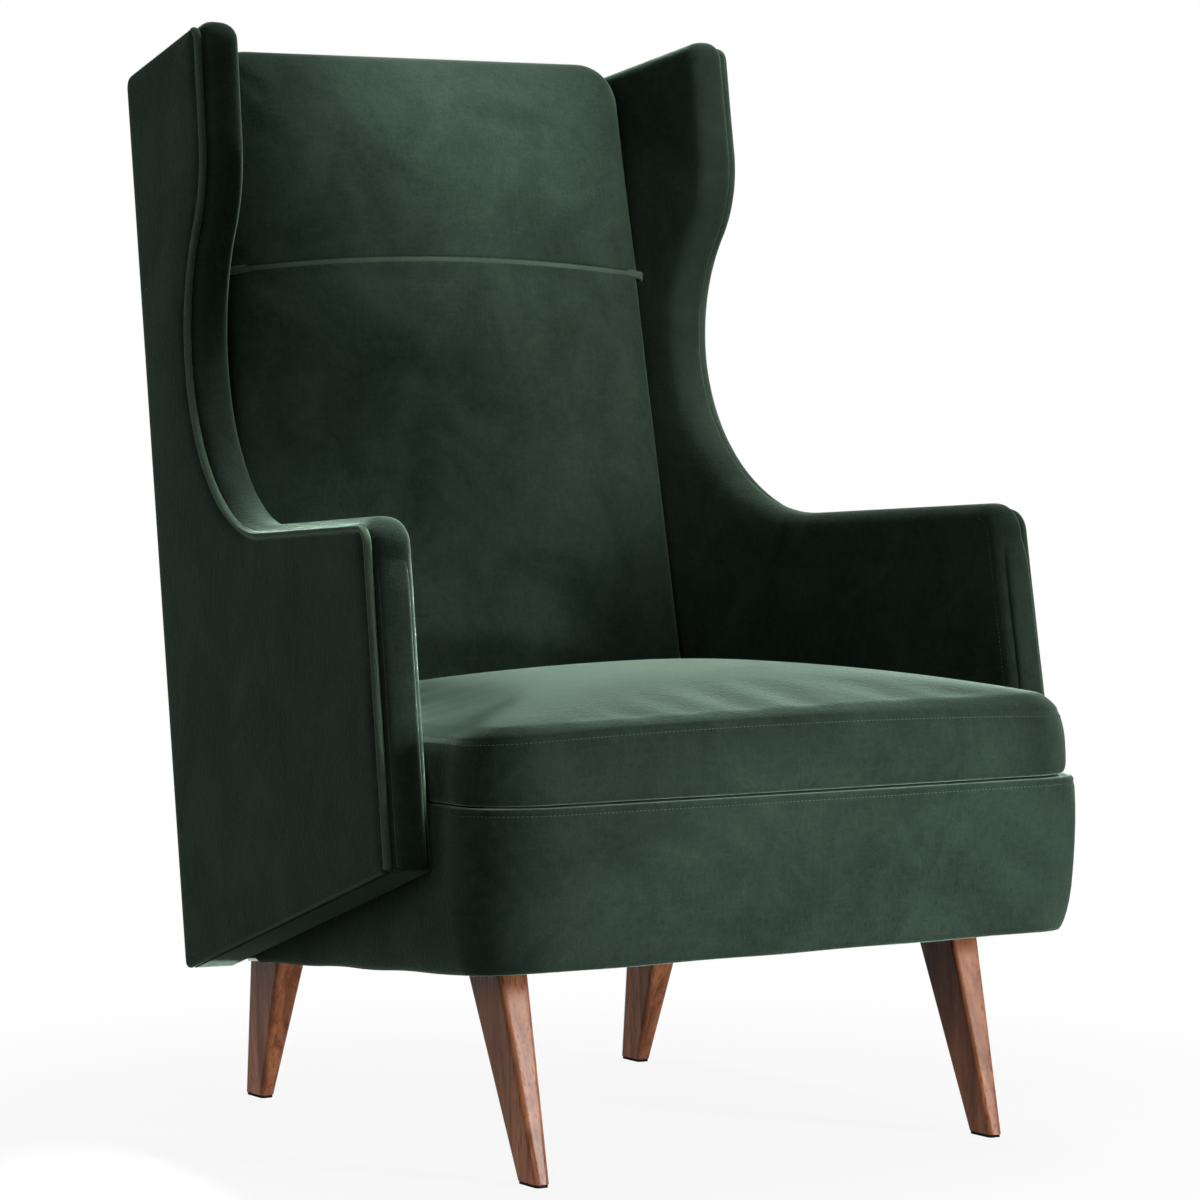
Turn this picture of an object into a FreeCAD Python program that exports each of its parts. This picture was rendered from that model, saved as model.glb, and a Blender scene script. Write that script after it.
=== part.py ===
import FreeCAD, Part
import math
import os

# A wingback lounge chair in millimetres. The floor is z = 0 and the chair faces -Y.
# Left and right are as seen from the front, so the right side is at +X.

Vector = FreeCAD.Vector
FAR = 1200.0                 # longer than any part of the chair
FIT_GAP = 0.3
FORM_GAP = 1.5               # room that a swelling pad leaves to its neighbour
SMALLEST_RADIUS = 3.0

# The two sides: each is a padded slab with wing and arm in one outline, opening towards the front
SIDE_FLARE = math.radians(7.6)
SIDE_OFFSET = 352.0          # half width over the outer faces where they cross y = 0
SIDE_THICKNESS = 52.0
# Corners of the side outline: forward, up, radius of the rounding
SIDE_OUTLINE = [
    (-209.0, 140.0, 8.0),    # rear foot
    (350.0, 299.0, 10.0),    # foot of the arm front
    (297.0, 623.0, 24.0),    # top of the arm front
    (-373.0, 581.0, 201.0),  # sweep from the arm top up into the wing
    (-147.5, 953.0, 140.0),  # swell of the wing
    (-170.0, 1119.0, 14.0),  # wing tip
    (-387.0, 1076.0, 14.0),  # rear top
]
REAR_FOOT = SIDE_OUTLINE[0]
ARM_FOOT = SIDE_OUTLINE[1]
ARM_TOP = SIDE_OUTLINE[2]
REAR_TOP = SIDE_OUTLINE[6]
# The inner pad stands proud of that outline at the front and top, and is trimmed at the rear and bottom
PAD_FULLNESS = 7.0
PAD_TRIM = 10.0
PAD_MOVES = (-PAD_TRIM, -PAD_FULLNESS, -PAD_FULLNESS, -PAD_FULLNESS, -PAD_FULLNESS, -PAD_FULLNESS, -PAD_TRIM)
PAD_RADII = (0.0, 0.0, 28.0, 194.0, 147.0, 28.0, 24.0)
# The outer cover has no welt at the bottom, top and rear and reaches the outline there
COVER_REACH = 7.0
COVER_MOVES = (-COVER_REACH, 0.0, 0.0, 0.0, 0.0, -COVER_REACH, -COVER_REACH)
COVER_RADII = (0.0, 0.0, 24.0, 201.0, 140.0, 20.0, 20.0)

# Layers of a side, as depths from the outer face
OUTSIDE_PANEL_DEPTH = 8.2
SIDE_FRAME_START = 8.5
SIDE_FRAME_END = 26.5
SIDE_FRAME_INSET = 22.0
INSIDE_PANEL_START = 10.3
WELT_RADIUS = 4.0
WELT_DEPTH = 6.0
WELT_INSET = 3.0
WELT_SIDES = 6
FACING_THICKNESS = 7.0
FACING_TOP = 594.0
SIDE_BOLT_PLACES = [(-110.0, 270.0), (65.0, 290.0), (235.0, 318.0)]

# Seat box
BASE_FRONT = 485.0           # reach of the seat box ahead of the origin line
BASE_REAR = 240.0            # past the reclined plane that cuts the seat box off
BASE_BOW = 6.0
BOW_SHARE = 0.25             # share of the front that the bow rounds off
BASE_CORNER_RADIUS = 75.0
BASE_BOTTOM_FRONT = 212.0
BASE_BOTTOM_SLOPE = 0.0974   # fall towards the rear
SEAT_PLANE_FRONT = 364.5     # seam between seat box and cushion
SEAT_PLANE_SLOPE = 0.0359
BORDER_THICKNESS = 18.0
RAIL_THICKNESS = 26.0
RAIL_TOP_DROP = 14.0
RAIL_BOTTOM_RISE = 3.0
DUST_CLOTH_RISE = 1.6
STRAP_THICKNESS = 2.0
STRAP_WIDTH = 50.0
STRAP_REAR = 190.0
RAIL_FRONT_FACE = -BASE_FRONT + BORDER_THICKNESS
FRONT_RAIL_BACK = RAIL_FRONT_FACE + BASE_BOW + RAIL_THICKNESS
REAR_BLOCK_CORNER = 160.0

# Seat cushion, with heights above the seam plane
CUSHION_FRONT = 468.0
CUSHION_REAR = 118.0
CUSHION_CORNER_RADIUS = 68.0
CUSHION_SIDE_GAP = 2.5
CUSHION_SEAM_HEIGHT = 62.0
CUSHION_SEAM_INSET = 2.0
CROWN_RISE = 52.0
CROWN_REACH = 163.0
CROWN_POWER = 2.3
CROWN_STEPS = 4
CORE_INSET = 26.0
CORE_BOTTOM = 12.0
CORE_TOP = 66.0

# Back: v runs up the reclined rear face, w runs forward from it
BACK_FOOT = 6.0
BACK_TOP = 962.0
BACK_SEAM = 736.0
BACK_PAD_FOOT = 200.0
BACK_FRAME_START = 8.3
BACK_FRAME_END = 36.3
BACK_PAD_START = 40.6
BACK_FRAME_TOP = BACK_TOP - 27.0
POST_FOOT = 18.0
POST_WIDTH = 45.0
BACK_RAIL_HEIGHT = 64.0
LOWER_RAIL_FOOT = 216.0
POST_SCREW_HEIGHTS = (70.0, 150.0)
SCREW_RADIUS = 3.0
SCREW_LENGTH = 44.0

# Legs: section at the top and at the foot, and where they stand
LEG_TOP_SIZE = (33.0, 63.0)
LEG_FOOT_SIZE = (16.0, 37.0)
LEG_EDGE_RADIUS = 5.0
LEG_SPARE = 12.0             # the blank stands above the underside before it is cut to it
FRONT_LEG = {"x": 265.0, "top_y": -330.0, "foot_y": -397.0}
REAR_LEG = {"x": 235.0, "top_y": 168.0, "foot_y": 208.0}
GLIDE_HEIGHT = 3.0
PLATE_SIZE = (36.0, 64.0)
BOLT_RADIUS = 4.0
BOLT_HEAD = (8.0, 4.0)       # radius and height
HANGER_LENGTH = 60.0
HANGER_IN_LEG = 36.0
HOLE_GAP = 0.15


# Outlines: closed counter-clockwise lists of corners (a, b, radius), where a radius of 0 is a sharp corner

def unit(a, b):
    length = math.hypot(a, b)
    return a / length, b / length


def inset_corners(corners, inset):
    """The same corners with every side moved inwards."""
    moved = []
    count = len(corners)
    for i, (a, b, radius) in enumerate(corners):
        before = corners[i - 1]
        after = corners[(i + 1) % count]
        d0 = unit(a - before[0], b - before[1])
        d1 = unit(after[0] - a, after[1] - b)
        scale = inset / (1 + d0[0] * d1[0] + d0[1] * d1[1])
        turns_left = d0[0] * d1[1] - d0[1] * d1[0] > 0
        new_radius = radius - inset if turns_left else radius + inset
        moved.append((a - (d0[1] + d1[1]) * scale,
                      b + (d0[0] + d1[0]) * scale,
                      max(new_radius, SMALLEST_RADIUS) if radius else 0.0))
    return moved


def moved_sides(corners, moves, radii):
    """Outline whose sides, each leaving its corner, are moved inwards by different amounts."""
    moved = []
    count = len(corners)
    for i, (a, b, _) in enumerate(corners):
        before = corners[i - 1]
        after = corners[(i + 1) % count]
        d0 = unit(a - before[0], b - before[1])
        d1 = unit(after[0] - a, after[1] - b)
        turn = d0[0] * d1[1] - d0[1] * d1[0]
        along_0 = moves[i] / turn
        along_1 = moves[i - 1] / turn
        moved.append((a + d1[0] * along_1 - d0[0] * along_0, b + d1[1] * along_1 - d0[1] * along_0, radii[i]))
    return moved


def corner_arc(before, corner, after):
    """Start, middle and end of the arc that rounds a corner."""
    a, b, radius = corner
    d0 = unit(a - before[0], b - before[1])
    d1 = unit(after[0] - a, after[1] - b)
    half_turn = math.acos(max(-1.0, min(1.0, d0[0] * d1[0] + d0[1] * d1[1]))) / 2
    reach = radius * math.tan(half_turn)
    sag = radius / math.cos(half_turn) - radius
    inward = unit(d1[0] - d0[0], d1[1] - d0[1])
    start = (a - d0[0] * reach, b - d0[1] * reach)
    middle = (a + inward[0] * sag, b + inward[1] * sag)
    end = (a + d1[0] * reach, b + d1[1] * reach)
    return start, middle, end


def rounded_edges(corners, to_space, inset=0.0):
    """Edges of an outline of tangent arcs and lines: each corner's arc, then the line that leaves it."""
    moved = inset_corners(corners, inset)
    count = len(moved)
    arcs = [corner_arc(moved[i - 1], moved[i], moved[(i + 1) % count]) for i in range(count)]
    edges = []
    for i, (start, middle, end) in enumerate(arcs):
        if moved[i][2]:
            edges.append(Part.Arc(to_space(*start), to_space(*middle), to_space(*end)).toShape())
        edges.append(Part.makeLine(to_space(*end), to_space(*arcs[(i + 1) % count][0])))
    return edges


def rounded_wire(corners, to_space, inset=0.0):
    return Part.Wire(rounded_edges(corners, to_space, inset))


def rectangle(width, depth, radius, x=0.0, y=0.0):
    half_w = width / 2
    half_d = depth / 2
    return [(x - half_w, y - half_d, radius), (x + half_w, y - half_d, radius),
            (x + half_w, y + half_d, radius), (x - half_w, y + half_d, radius)]


# Frames: each turns two lengths along a plane and a height above it into a point of the chair

def side_point(u, z, depth):
    """Point of the right side: u forward along it, z up, depth inwards from its outer face."""
    x = SIDE_OFFSET + u * math.sin(SIDE_FLARE) - depth * math.cos(SIDE_FLARE)
    y = -u * math.cos(SIDE_FLARE) - depth * math.sin(SIDE_FLARE)
    return Vector(x, y, z)


def falling_plane(front_height, slope):
    """Frame of a plane that falls towards the rear from the front of the seat box."""
    tilt = math.atan(slope)

    def to_space(x, y, height):
        along = y + BASE_FRONT
        return Vector(x,
                      along * math.cos(tilt) + height * math.sin(tilt) - BASE_FRONT,
                      front_height - along * math.sin(tilt) + height * math.cos(tilt))
    return to_space


seat_point = falling_plane(SEAT_PLANE_FRONT, SEAT_PLANE_SLOPE)
bottom_point = falling_plane(BASE_BOTTOM_FRONT, BASE_BOTTOM_SLOPE)

REAR_FOOT_Y = -REAR_FOOT[0] * math.cos(SIDE_FLARE)
REAR_TOP_Y = -REAR_TOP[0] * math.cos(SIDE_FLARE)
RECLINE = math.atan2(REAR_TOP_Y - REAR_FOOT_Y, REAR_TOP[1] - REAR_FOOT[1])


def back_point(x, v, w):
    """Point at height v up the reclined rear face and w ahead of it."""
    y = REAR_FOOT_Y + v * math.sin(RECLINE) - w * math.cos(RECLINE)
    z = REAR_FOOT[1] + v * math.cos(RECLINE) + w * math.sin(RECLINE)
    return Vector(x, y, z)


# Solids

def layered(corners, frame, sections):
    """Solid through sections (height, inset) of one outline, so that its flanks are planes and cones."""
    wires = []
    for height, inset in sections:
        wires.append(rounded_wire(corners, lambda a, b, height=height: frame(a, b, height), inset))
    return Part.makeLoft(wires, True, True)


def prism(frame, corners, low, high):
    """Sharp-cornered outline raised from one height of a frame to another."""
    points = [frame(a, b, low) for a, b in corners]
    rise = frame(0, 0, high) - frame(0, 0, low)
    return Part.Face(Part.makePolygon(points + points[:1])).extrude(rise)


def block(frame, a_range, b_range, heights):
    a0, a1 = a_range
    b0, b1 = b_range
    return prism(frame, [(a0, b0), (a1, b0), (a1, b1), (a0, b1)], *heights)


def above(frame, height):
    """Everything above a plane of a frame."""
    return block(frame, (-FAR, FAR), (-FAR, FAR), (height, height + FAR))


def below(frame, height):
    return block(frame, (-FAR, FAR), (-FAR, FAR), (height - FAR, height))


def column(corners, inset=0.0):
    """Plan outline raised straight up."""
    return Part.Face(rounded_wire(corners, lambda x, y: Vector(x, y, 0), inset)).extrude(Vector(0, 0, FAR))


def mirrored(shape):
    return shape.mirror(Vector(0, 0, 0), Vector(1, 0, 0))


def both_sides(shape):
    return [shape, mirrored(shape)]


def cut_all(shape, tools):
    for tool in tools:
        shape = shape.cut(tool)
    return shape


def inner_half_width(y):
    """Half the space between the inner faces of the two sides."""
    return SIDE_OFFSET - SIDE_THICKNESS / math.cos(SIDE_FLARE) - y * math.tan(SIDE_FLARE)


def seat_plan(front, rear, front_radius, gap):
    """Seat outline between the sides, seen from above, with a gently bowed front and a square rear."""
    front_half = inner_half_width(-front + BASE_BOW) - gap
    rear_half = inner_half_width(rear) - gap
    bow_radius = BOW_SHARE * front_half ** 2 / BASE_BOW
    return [(0.0, -front, bow_radius), (front_half, -front + BASE_BOW, front_radius),
            (rear_half, rear, 0.0), (-rear_half, rear, 0.0),
            (-front_half, -front + BASE_BOW, front_radius)]


# Sides

def side_layers(sections):
    return layered(SIDE_OUTLINE, side_point, sections)


def outside_panel():
    """Outer cover over a thin pad: drawn in behind the welt, and out to the edge where there is none."""
    outline = moved_sides(SIDE_OUTLINE, COVER_MOVES, COVER_RADII)
    cover = layered(outline, side_point, [(0.0, 16.0), (1.5, 10.0), (OUTSIDE_PANEL_DEPTH, 7.5)])
    return cover.cut(welt(WELT_RADIUS + FIT_GAP))


def side_frame():
    return side_layers([(SIDE_FRAME_START, SIDE_FRAME_INSET), (SIDE_FRAME_END, SIDE_FRAME_INSET)])


def side_wedge():
    """Everything above the bottom line of a side and ahead of its rear line."""
    u, z, _ = REAR_FOOT
    bottom = unit(ARM_FOOT[0] - u, ARM_FOOT[1] - z)
    rear = unit(REAR_TOP[0] - u, REAR_TOP[1] - z)
    corners = [(u, z), (u + FAR * bottom[0], z + FAR * bottom[1]), (FAR, 2 * FAR),
               (u + 2 * FAR * rear[0], z + 2 * FAR * rear[1])]
    return prism(side_point, corners, 0.0, SIDE_THICKNESS)


def padded_side():
    """Inner pad rolled over the edge of the side frame, hollow where the frame lies."""
    outline = moved_sides(SIDE_OUTLINE, PAD_MOVES, PAD_RADII)
    roll = [(INSIDE_PANEL_START, 8.5), (15.0, 3.0), (22.0, 0.0), (32.0, 0.0), (41.0, 2.2), (47.0, 6.5),
            (50.5, 12.0), (SIDE_THICKNESS, 20.0)]
    pocket_inset = SIDE_FRAME_INSET - FIT_GAP
    pocket = side_layers([(0.0, pocket_inset), (SIDE_FRAME_END + FIT_GAP, pocket_inset)])
    return layered(outline, side_point, roll).common(side_wedge()).cut(pocket)


def facing_zone():
    """Slice along the sloping arm front that the facing takes up."""
    slope = (ARM_FOOT[0] - ARM_TOP[0]) / (ARM_TOP[1] - ARM_FOOT[1])
    foot = ARM_FOOT[1]
    back_at_foot = ARM_FOOT[0] + PAD_FULLNESS - FACING_THICKNESS
    back_at_top = back_at_foot - slope * (FACING_TOP - foot)
    corners = [(back_at_foot, foot), (back_at_foot + FAR, foot),
               (back_at_top + FAR, FACING_TOP), (back_at_top, FACING_TOP)]
    return prism(side_point, corners, 0.0, SIDE_THICKNESS)


def welt(radius):
    """Piping along the outer edge, from the foot of the arm front over arm and wing to the wing tip."""
    edges = rounded_edges(SIDE_OUTLINE, lambda u, z: side_point(u, z, WELT_DEPTH), WELT_INSET)[2:11]
    start = edges[0].valueAt(edges[0].FirstParameter)
    heading = edges[0].tangentAt(edges[0].FirstParameter)
    inward = side_point(0, 0, 1) - side_point(0, 0, 0)
    across = heading.cross(inward)
    ring = []
    for i in range(WELT_SIDES + 1):
        angle = 2 * math.pi * i / WELT_SIDES
        spoke = inward * math.cos(angle) + across * math.sin(angle)
        ring.append(start + spoke * radius)
    return Part.Wire(edges).makePipeShell([Part.makePolygon(ring)], True, False)


def side_bolt(u, z, extra=0.0):
    """Furniture bolt from the inner face of the side rail into the side frame."""
    head_depth = SIDE_THICKNESS + FIT_GAP + BORDER_THICKNESS + RAIL_THICKNESS
    tip_depth = SIDE_FRAME_START + 4.0
    head_radius, head_height = BOLT_HEAD
    outward = side_point(0, 0, 0) - side_point(0, 0, 1)
    length = head_depth - tip_depth
    shank = Part.makeCylinder(BOLT_RADIUS + extra, length, side_point(u, z, head_depth), outward)
    head = Part.makeCylinder(head_radius, head_height, side_point(u, z, head_depth + head_height), outward)
    return shank.fuse(head)


# Seat box

def base_plan():
    return seat_plan(BASE_FRONT, BASE_REAR, BASE_CORNER_RADIUS, FORM_GAP)


def frame_plan():
    """Outline of the seat frame inside the border."""
    return seat_plan(BASE_FRONT - BORDER_THICKNESS, BASE_REAR, BASE_CORNER_RADIUS - BORDER_THICKNESS,
                     BORDER_THICKNESS)


def ahead_of(w):
    """Everything ahead of the reclined plane at w."""
    return above(back_point, w)


def base_border():
    """Padded wrap of the seat box: upright walls, rolled at the top seam and drawn in at the bottom."""
    top_roll = layered(base_plan(), seat_point, [(0.0, 10.0), (-4.0, 5.0), (-13.0, 1.5), (-300.0, -20.0)])
    bottom_roll = layered(base_plan(), bottom_point, [(0.0, 17.5), (7.0, 11.0), (22.0, 4.5), (52.0, -0.8),
                                                      (400.0, -35.0)])
    outer = column(base_plan()).common(top_roll).common(bottom_roll)
    return outer.cut(column(frame_plan())).common(ahead_of(BACK_FRAME_END))


def frame_layer(low, high, inset=0.0):
    """Part of the seat frame's space between two planes."""
    return column(frame_plan(), inset).common(low).common(high)


def frame_block(inset=0.0):
    """The space of the seat frame, ahead of the back posts."""
    layer = frame_layer(above(bottom_point, RAIL_BOTTOM_RISE), below(seat_point, -RAIL_TOP_DROP), inset)
    return layer.common(ahead_of(BACK_FRAME_END))


def strip(y_low, y_high):
    """Tall block over the full width between two depths."""
    return Part.makeBox(2 * FAR, y_high - y_low, FAR, Vector(-FAR, y_low, 0))


def ahead_of_rear_rail():
    return ahead_of(BACK_FRAME_END + RAIL_THICKNESS)


def between_end_rails():
    return strip(FRONT_RAIL_BACK, BASE_REAR).common(ahead_of_rear_rail())


def side_rails():
    """Right and left rail between the end rails."""
    ring = frame_block().cut(frame_block(RAIL_THICKNESS))
    rails = ring.common(between_end_rails())
    return sorted(rails.Solids, key=lambda solid: -solid.CenterOfMass.x)


def corner_block(y_corner, toward_middle, length_x, length_y, rise):
    """Triangular block in a corner of the seat frame."""
    x_corner = inner_half_width(y_corner) - BORDER_THICKNESS - RAIL_THICKNESS
    far = y_corner + toward_middle * length_y
    corners = [(FAR, y_corner), (FAR, far), (x_corner, far), (x_corner - length_x, y_corner)]
    wedge = Part.Face(Part.makePolygon([Vector(x, y, 0) for x, y in corners + corners[:1]]))
    layer = frame_layer(above(bottom_point, RAIL_BOTTOM_RISE), below(bottom_point, rise), RAIL_THICKNESS)
    return layer.common(wedge.extrude(Vector(0, 0, FAR))).common(between_end_rails())


def seat_webbing():
    """Straps from front to rear, and a second layer across them."""
    half_strap = STRAP_WIDTH / 2
    first = (-RAIL_TOP_DROP, -RAIL_TOP_DROP + STRAP_THICKNESS)
    second = (first[1], first[1] + STRAP_THICKNESS)
    reach = (RAIL_FRONT_FACE + 12.0, STRAP_REAR)
    straps = []
    for x in (-168.0, -56.0, 56.0, 168.0):
        straps.append(block(seat_point, (x - half_strap, x + half_strap), reach, first))
    for y in (-355.0, -247.0, -139.0, -31.0, 77.0):
        half = inner_half_width(y) - BORDER_THICKNESS - 6.0
        straps.append(block(seat_point, (-half, half), (y - half_strap, y + half_strap), second))
    return Part.makeCompound(straps)


def seat_deck():
    """Thin pad over the straps, from the border to the back frame."""
    low = above(seat_point, -RAIL_TOP_DROP + 2 * STRAP_THICKNESS)
    return frame_layer(low, below(seat_point, -0.5), FIT_GAP).common(ahead_of(BACK_FRAME_END))


def cushion_layers(sections):
    plan = seat_plan(CUSHION_FRONT, CUSHION_REAR, CUSHION_CORNER_RADIUS, CUSHION_SIDE_GAP)
    return layered(plan, seat_point, sections)


def seat_cushion_core():
    return cushion_layers([(CORE_BOTTOM, CORE_INSET), (CORE_TOP, CORE_INSET)])


def crown_sections():
    """Rise of the cushion top from its seam towards the middle, steep first and level at the end."""
    sections = []
    for step in range(CROWN_STEPS + 1):
        share = step / CROWN_STEPS
        height = CUSHION_SEAM_HEIGHT + CROWN_RISE * (1 - (1 - share) ** CROWN_POWER)
        sections.append((height, CUSHION_SEAM_INSET + CROWN_REACH * share))
    return sections


def seat_cushion():
    """Box-edged cushion: boxing drawn in between its two seams, then the crown."""
    boxing = [(0.6, 9.0), (5.0, 2.0), (14.0, 0.0), (34.0, 2.0), (54.0, 0.0)]
    room_inset = CORE_INSET - FIT_GAP
    room = cushion_layers([(CORE_BOTTOM - FIT_GAP, room_inset), (CORE_TOP + FIT_GAP, room_inset)])
    return cushion_layers(boxing + crown_sections()).cut(room)


# Back

def back_half_width(v, w):
    return inner_half_width(back_point(0, v, w).y) - FIT_GAP


def back_plan(foot, top, w, foot_radius, top_radius, inset=0.0):
    """Outline across the back between two heights, as wide as the sides leave it."""
    low = back_half_width(foot, w) - inset
    high = back_half_width(top, w) - inset
    return [(-low, foot, foot_radius), (low, foot, foot_radius),
            (high, top, top_radius), (-high, top, top_radius)]


def back_pad():
    """Inside back below the cross seam, crowned and drawn in at its edges."""
    corners = back_plan(BACK_PAD_FOOT, BACK_SEAM - FORM_GAP, BACK_PAD_START, 0.0, 0.0)
    crown = [(BACK_PAD_START, 0.5), (99.0, 0.5), (107.0, 4.0), (113.0, 10.0), (117.0, 24.0), (119.5, 50.0),
             (120.5, 90.0)]
    return layered(corners, back_point, crown)


def headrest_pad():
    """Pad above the cross seam, prouder than the back below it and carried over the back frame's top."""
    corners = back_plan(BACK_SEAM + FORM_GAP, BACK_TOP, BACK_PAD_START, 0.0, 48.0)
    crown = [(BACK_FRAME_START + FIT_GAP, 4.0), (22.0, 0.5), (101.0, 0.5), (109.0, 4.0), (115.0, 10.5),
             (120.0, 24.0), (123.0, 44.0)]
    frame_room = block(back_point, (-FAR, FAR), (0.0, BACK_FRAME_TOP + FIT_GAP), (-FAR, BACK_PAD_START))
    return layered(corners, back_point, crown).cut(frame_room)


def outside_back():
    corners = back_plan(BACK_FOOT, BACK_TOP, 0.0, 0.0, 20.0, 1.0)
    return layered(corners, back_point, [(0.0, 6.0), (3.0, 0.5), (BACK_FRAME_START - FIT_GAP, 0.0)])


def back_post():
    """Upright beside the right-hand side, from the foot of the seat frame to the top of the back."""
    low = back_half_width(POST_FOOT, BACK_FRAME_START)
    high = back_half_width(BACK_FRAME_TOP, BACK_FRAME_START)
    corners = [(low - POST_WIDTH, POST_FOOT), (low, POST_FOOT),
               (high, BACK_FRAME_TOP), (high - POST_WIDTH, BACK_FRAME_TOP)]
    return prism(back_point, corners, BACK_FRAME_START, BACK_FRAME_END)


def back_rail(foot):
    """Cross rail between the two posts."""
    top = foot + BACK_RAIL_HEIGHT
    low = back_half_width(foot, BACK_FRAME_START) - POST_WIDTH
    high = back_half_width(top, BACK_FRAME_START) - POST_WIDTH
    corners = [(-low, foot), (low, foot), (high, top), (-high, top)]
    return prism(back_point, corners, BACK_FRAME_START, BACK_FRAME_END)


def back_webbing():
    """Upright straps from rail to rail, and a second layer from post to post."""
    half_strap = STRAP_WIDTH / 2
    first = (BACK_FRAME_END, BACK_FRAME_END + STRAP_THICKNESS)
    second = (first[1], first[1] + STRAP_THICKNESS)
    upright_reach = (LOWER_RAIL_FOOT + 8.0, BACK_FRAME_TOP - 10.0)
    straps = []
    for x in (-110.0, 0.0, 110.0):
        straps.append(block(back_point, (x - half_strap, x + half_strap), upright_reach, first))
    for v in (330.0, 450.0, 570.0, 690.0, 810.0):
        half = back_half_width(v, BACK_FRAME_END) - 6.0
        straps.append(block(back_point, (-half, half), (v - half_strap, v + half_strap), second))
    return Part.makeCompound(straps)


def post_screw(v, extra=0.0):
    """Screw through a back post into the rear rail, square to the back."""
    x = back_half_width(v, BACK_FRAME_START) - POST_WIDTH / 2
    start = back_point(x, v, BACK_FRAME_START + 1.0)
    forward = back_point(x, v, BACK_FRAME_END) - start
    return Part.makeCylinder(SCREW_RADIUS + extra, SCREW_LENGTH, start, forward)


# Legs

def bottom_height(y):
    """Height of the underside of the seat box."""
    return BASE_BOTTOM_FRONT - BASE_BOTTOM_SLOPE * (y + BASE_FRONT)


def leg_reach(place, z):
    """Reach of a leg in x and in y at a height, on the straight taper from foot to top."""
    share = (z - GLIDE_HEIGHT) / (bottom_height(place["top_y"]) - GLIDE_HEIGHT)
    width, depth = [foot + share * (top - foot) for foot, top in zip(LEG_FOOT_SIZE, LEG_TOP_SIZE)]
    y = place["foot_y"] + share * (place["top_y"] - place["foot_y"])
    return (place["x"] - width / 2, place["x"] + width / 2), (y - depth / 2, y + depth / 2)


def view_prism(reach_low, reach_high, low, high, frame):
    """One view of a leg, from its reach at the foot to its reach at the top, carried right through."""
    corners = [(reach_low[0], low), (reach_low[1], low), (reach_high[1], high), (reach_high[0], high)]
    return prism(frame, corners, -FAR, FAR)


def leg(place):
    """Blade-like tapered leg, raked in depth, with rounded edges and its top cut to the underside."""
    low = GLIDE_HEIGHT
    high = bottom_height(place["top_y"]) + LEG_SPARE
    x_low, y_low = leg_reach(place, low)
    x_high, y_high = leg_reach(place, high)
    front_view = view_prism(x_low, x_high, low, high, lambda x, z, y: Vector(x, y, z))
    side_view = view_prism(y_low, y_high, low, high, lambda y, z, x: Vector(x, y, z))
    blank = front_view.common(side_view)
    long_edges = [edge for edge in blank.Edges if edge.BoundBox.ZLength > LEG_SPARE]
    return blank.makeFillet(LEG_EDGE_RADIUS, long_edges).common(below(bottom_point, 0.0))


def plate_room(place, gap=0.0):
    """Column over the plate of a leg."""
    width, depth = [size + 2 * gap for size in PLATE_SIZE]
    return Part.makeBox(width, depth, FAR, Vector(place["x"] - width / 2, place["top_y"] - depth / 2, 0))


def leg_plate(place):
    return plate_room(place).common(above(bottom_point, 0.0)).common(below(bottom_point, RAIL_BOTTOM_RISE))


def hanger_bolt(place, extra=0.0):
    foot = bottom_height(place["top_y"]) - HANGER_IN_LEG
    return Part.makeCylinder(BOLT_RADIUS + extra, HANGER_LENGTH, Vector(place["x"], place["top_y"], foot))


def foot_glide(place):
    outline = rectangle(*LEG_FOOT_SIZE, LEG_EDGE_RADIUS, place["x"], place["foot_y"])
    wire = rounded_wire(outline, lambda x, y: Vector(x, y, 0), 1.0)
    return Part.Face(wire).extrude(Vector(0, 0, GLIDE_HEIGHT))


def dust_cover():
    """Cloth under the seat frame from the border to the outside back, cut out round the leg plates."""
    cloth = frame_layer(above(bottom_point, DUST_CLOTH_RISE), below(bottom_point, RAIL_BOTTOM_RISE), 5.0)
    cloth = cloth.common(ahead_of(BACK_FRAME_START))
    rooms = [copy for place in (FRONT_LEG, REAR_LEG) for copy in both_sides(plate_room(place, 1.0))]
    return cut_all(cloth, rooms)


# The nodes

def build_sides():
    pad = padded_side()
    zone = facing_zone()
    bolt_holes = [side_bolt(u, z, HOLE_GAP) for u, z in SIDE_BOLT_PLACES]
    pieces = {
        "outside_panel": outside_panel(),
        "side_frame": cut_all(side_frame(), bolt_holes),
        "inside_panel": cut_all(pad.cut(zone), bolt_holes),
        "arm_facing": pad.common(zone),
        "welt": welt(WELT_RADIUS),
    }
    nodes = {}
    for name, shape in pieces.items():
        nodes["right_" + name] = shape
        nodes["left_" + name] = mirrored(shape)
    return nodes


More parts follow.
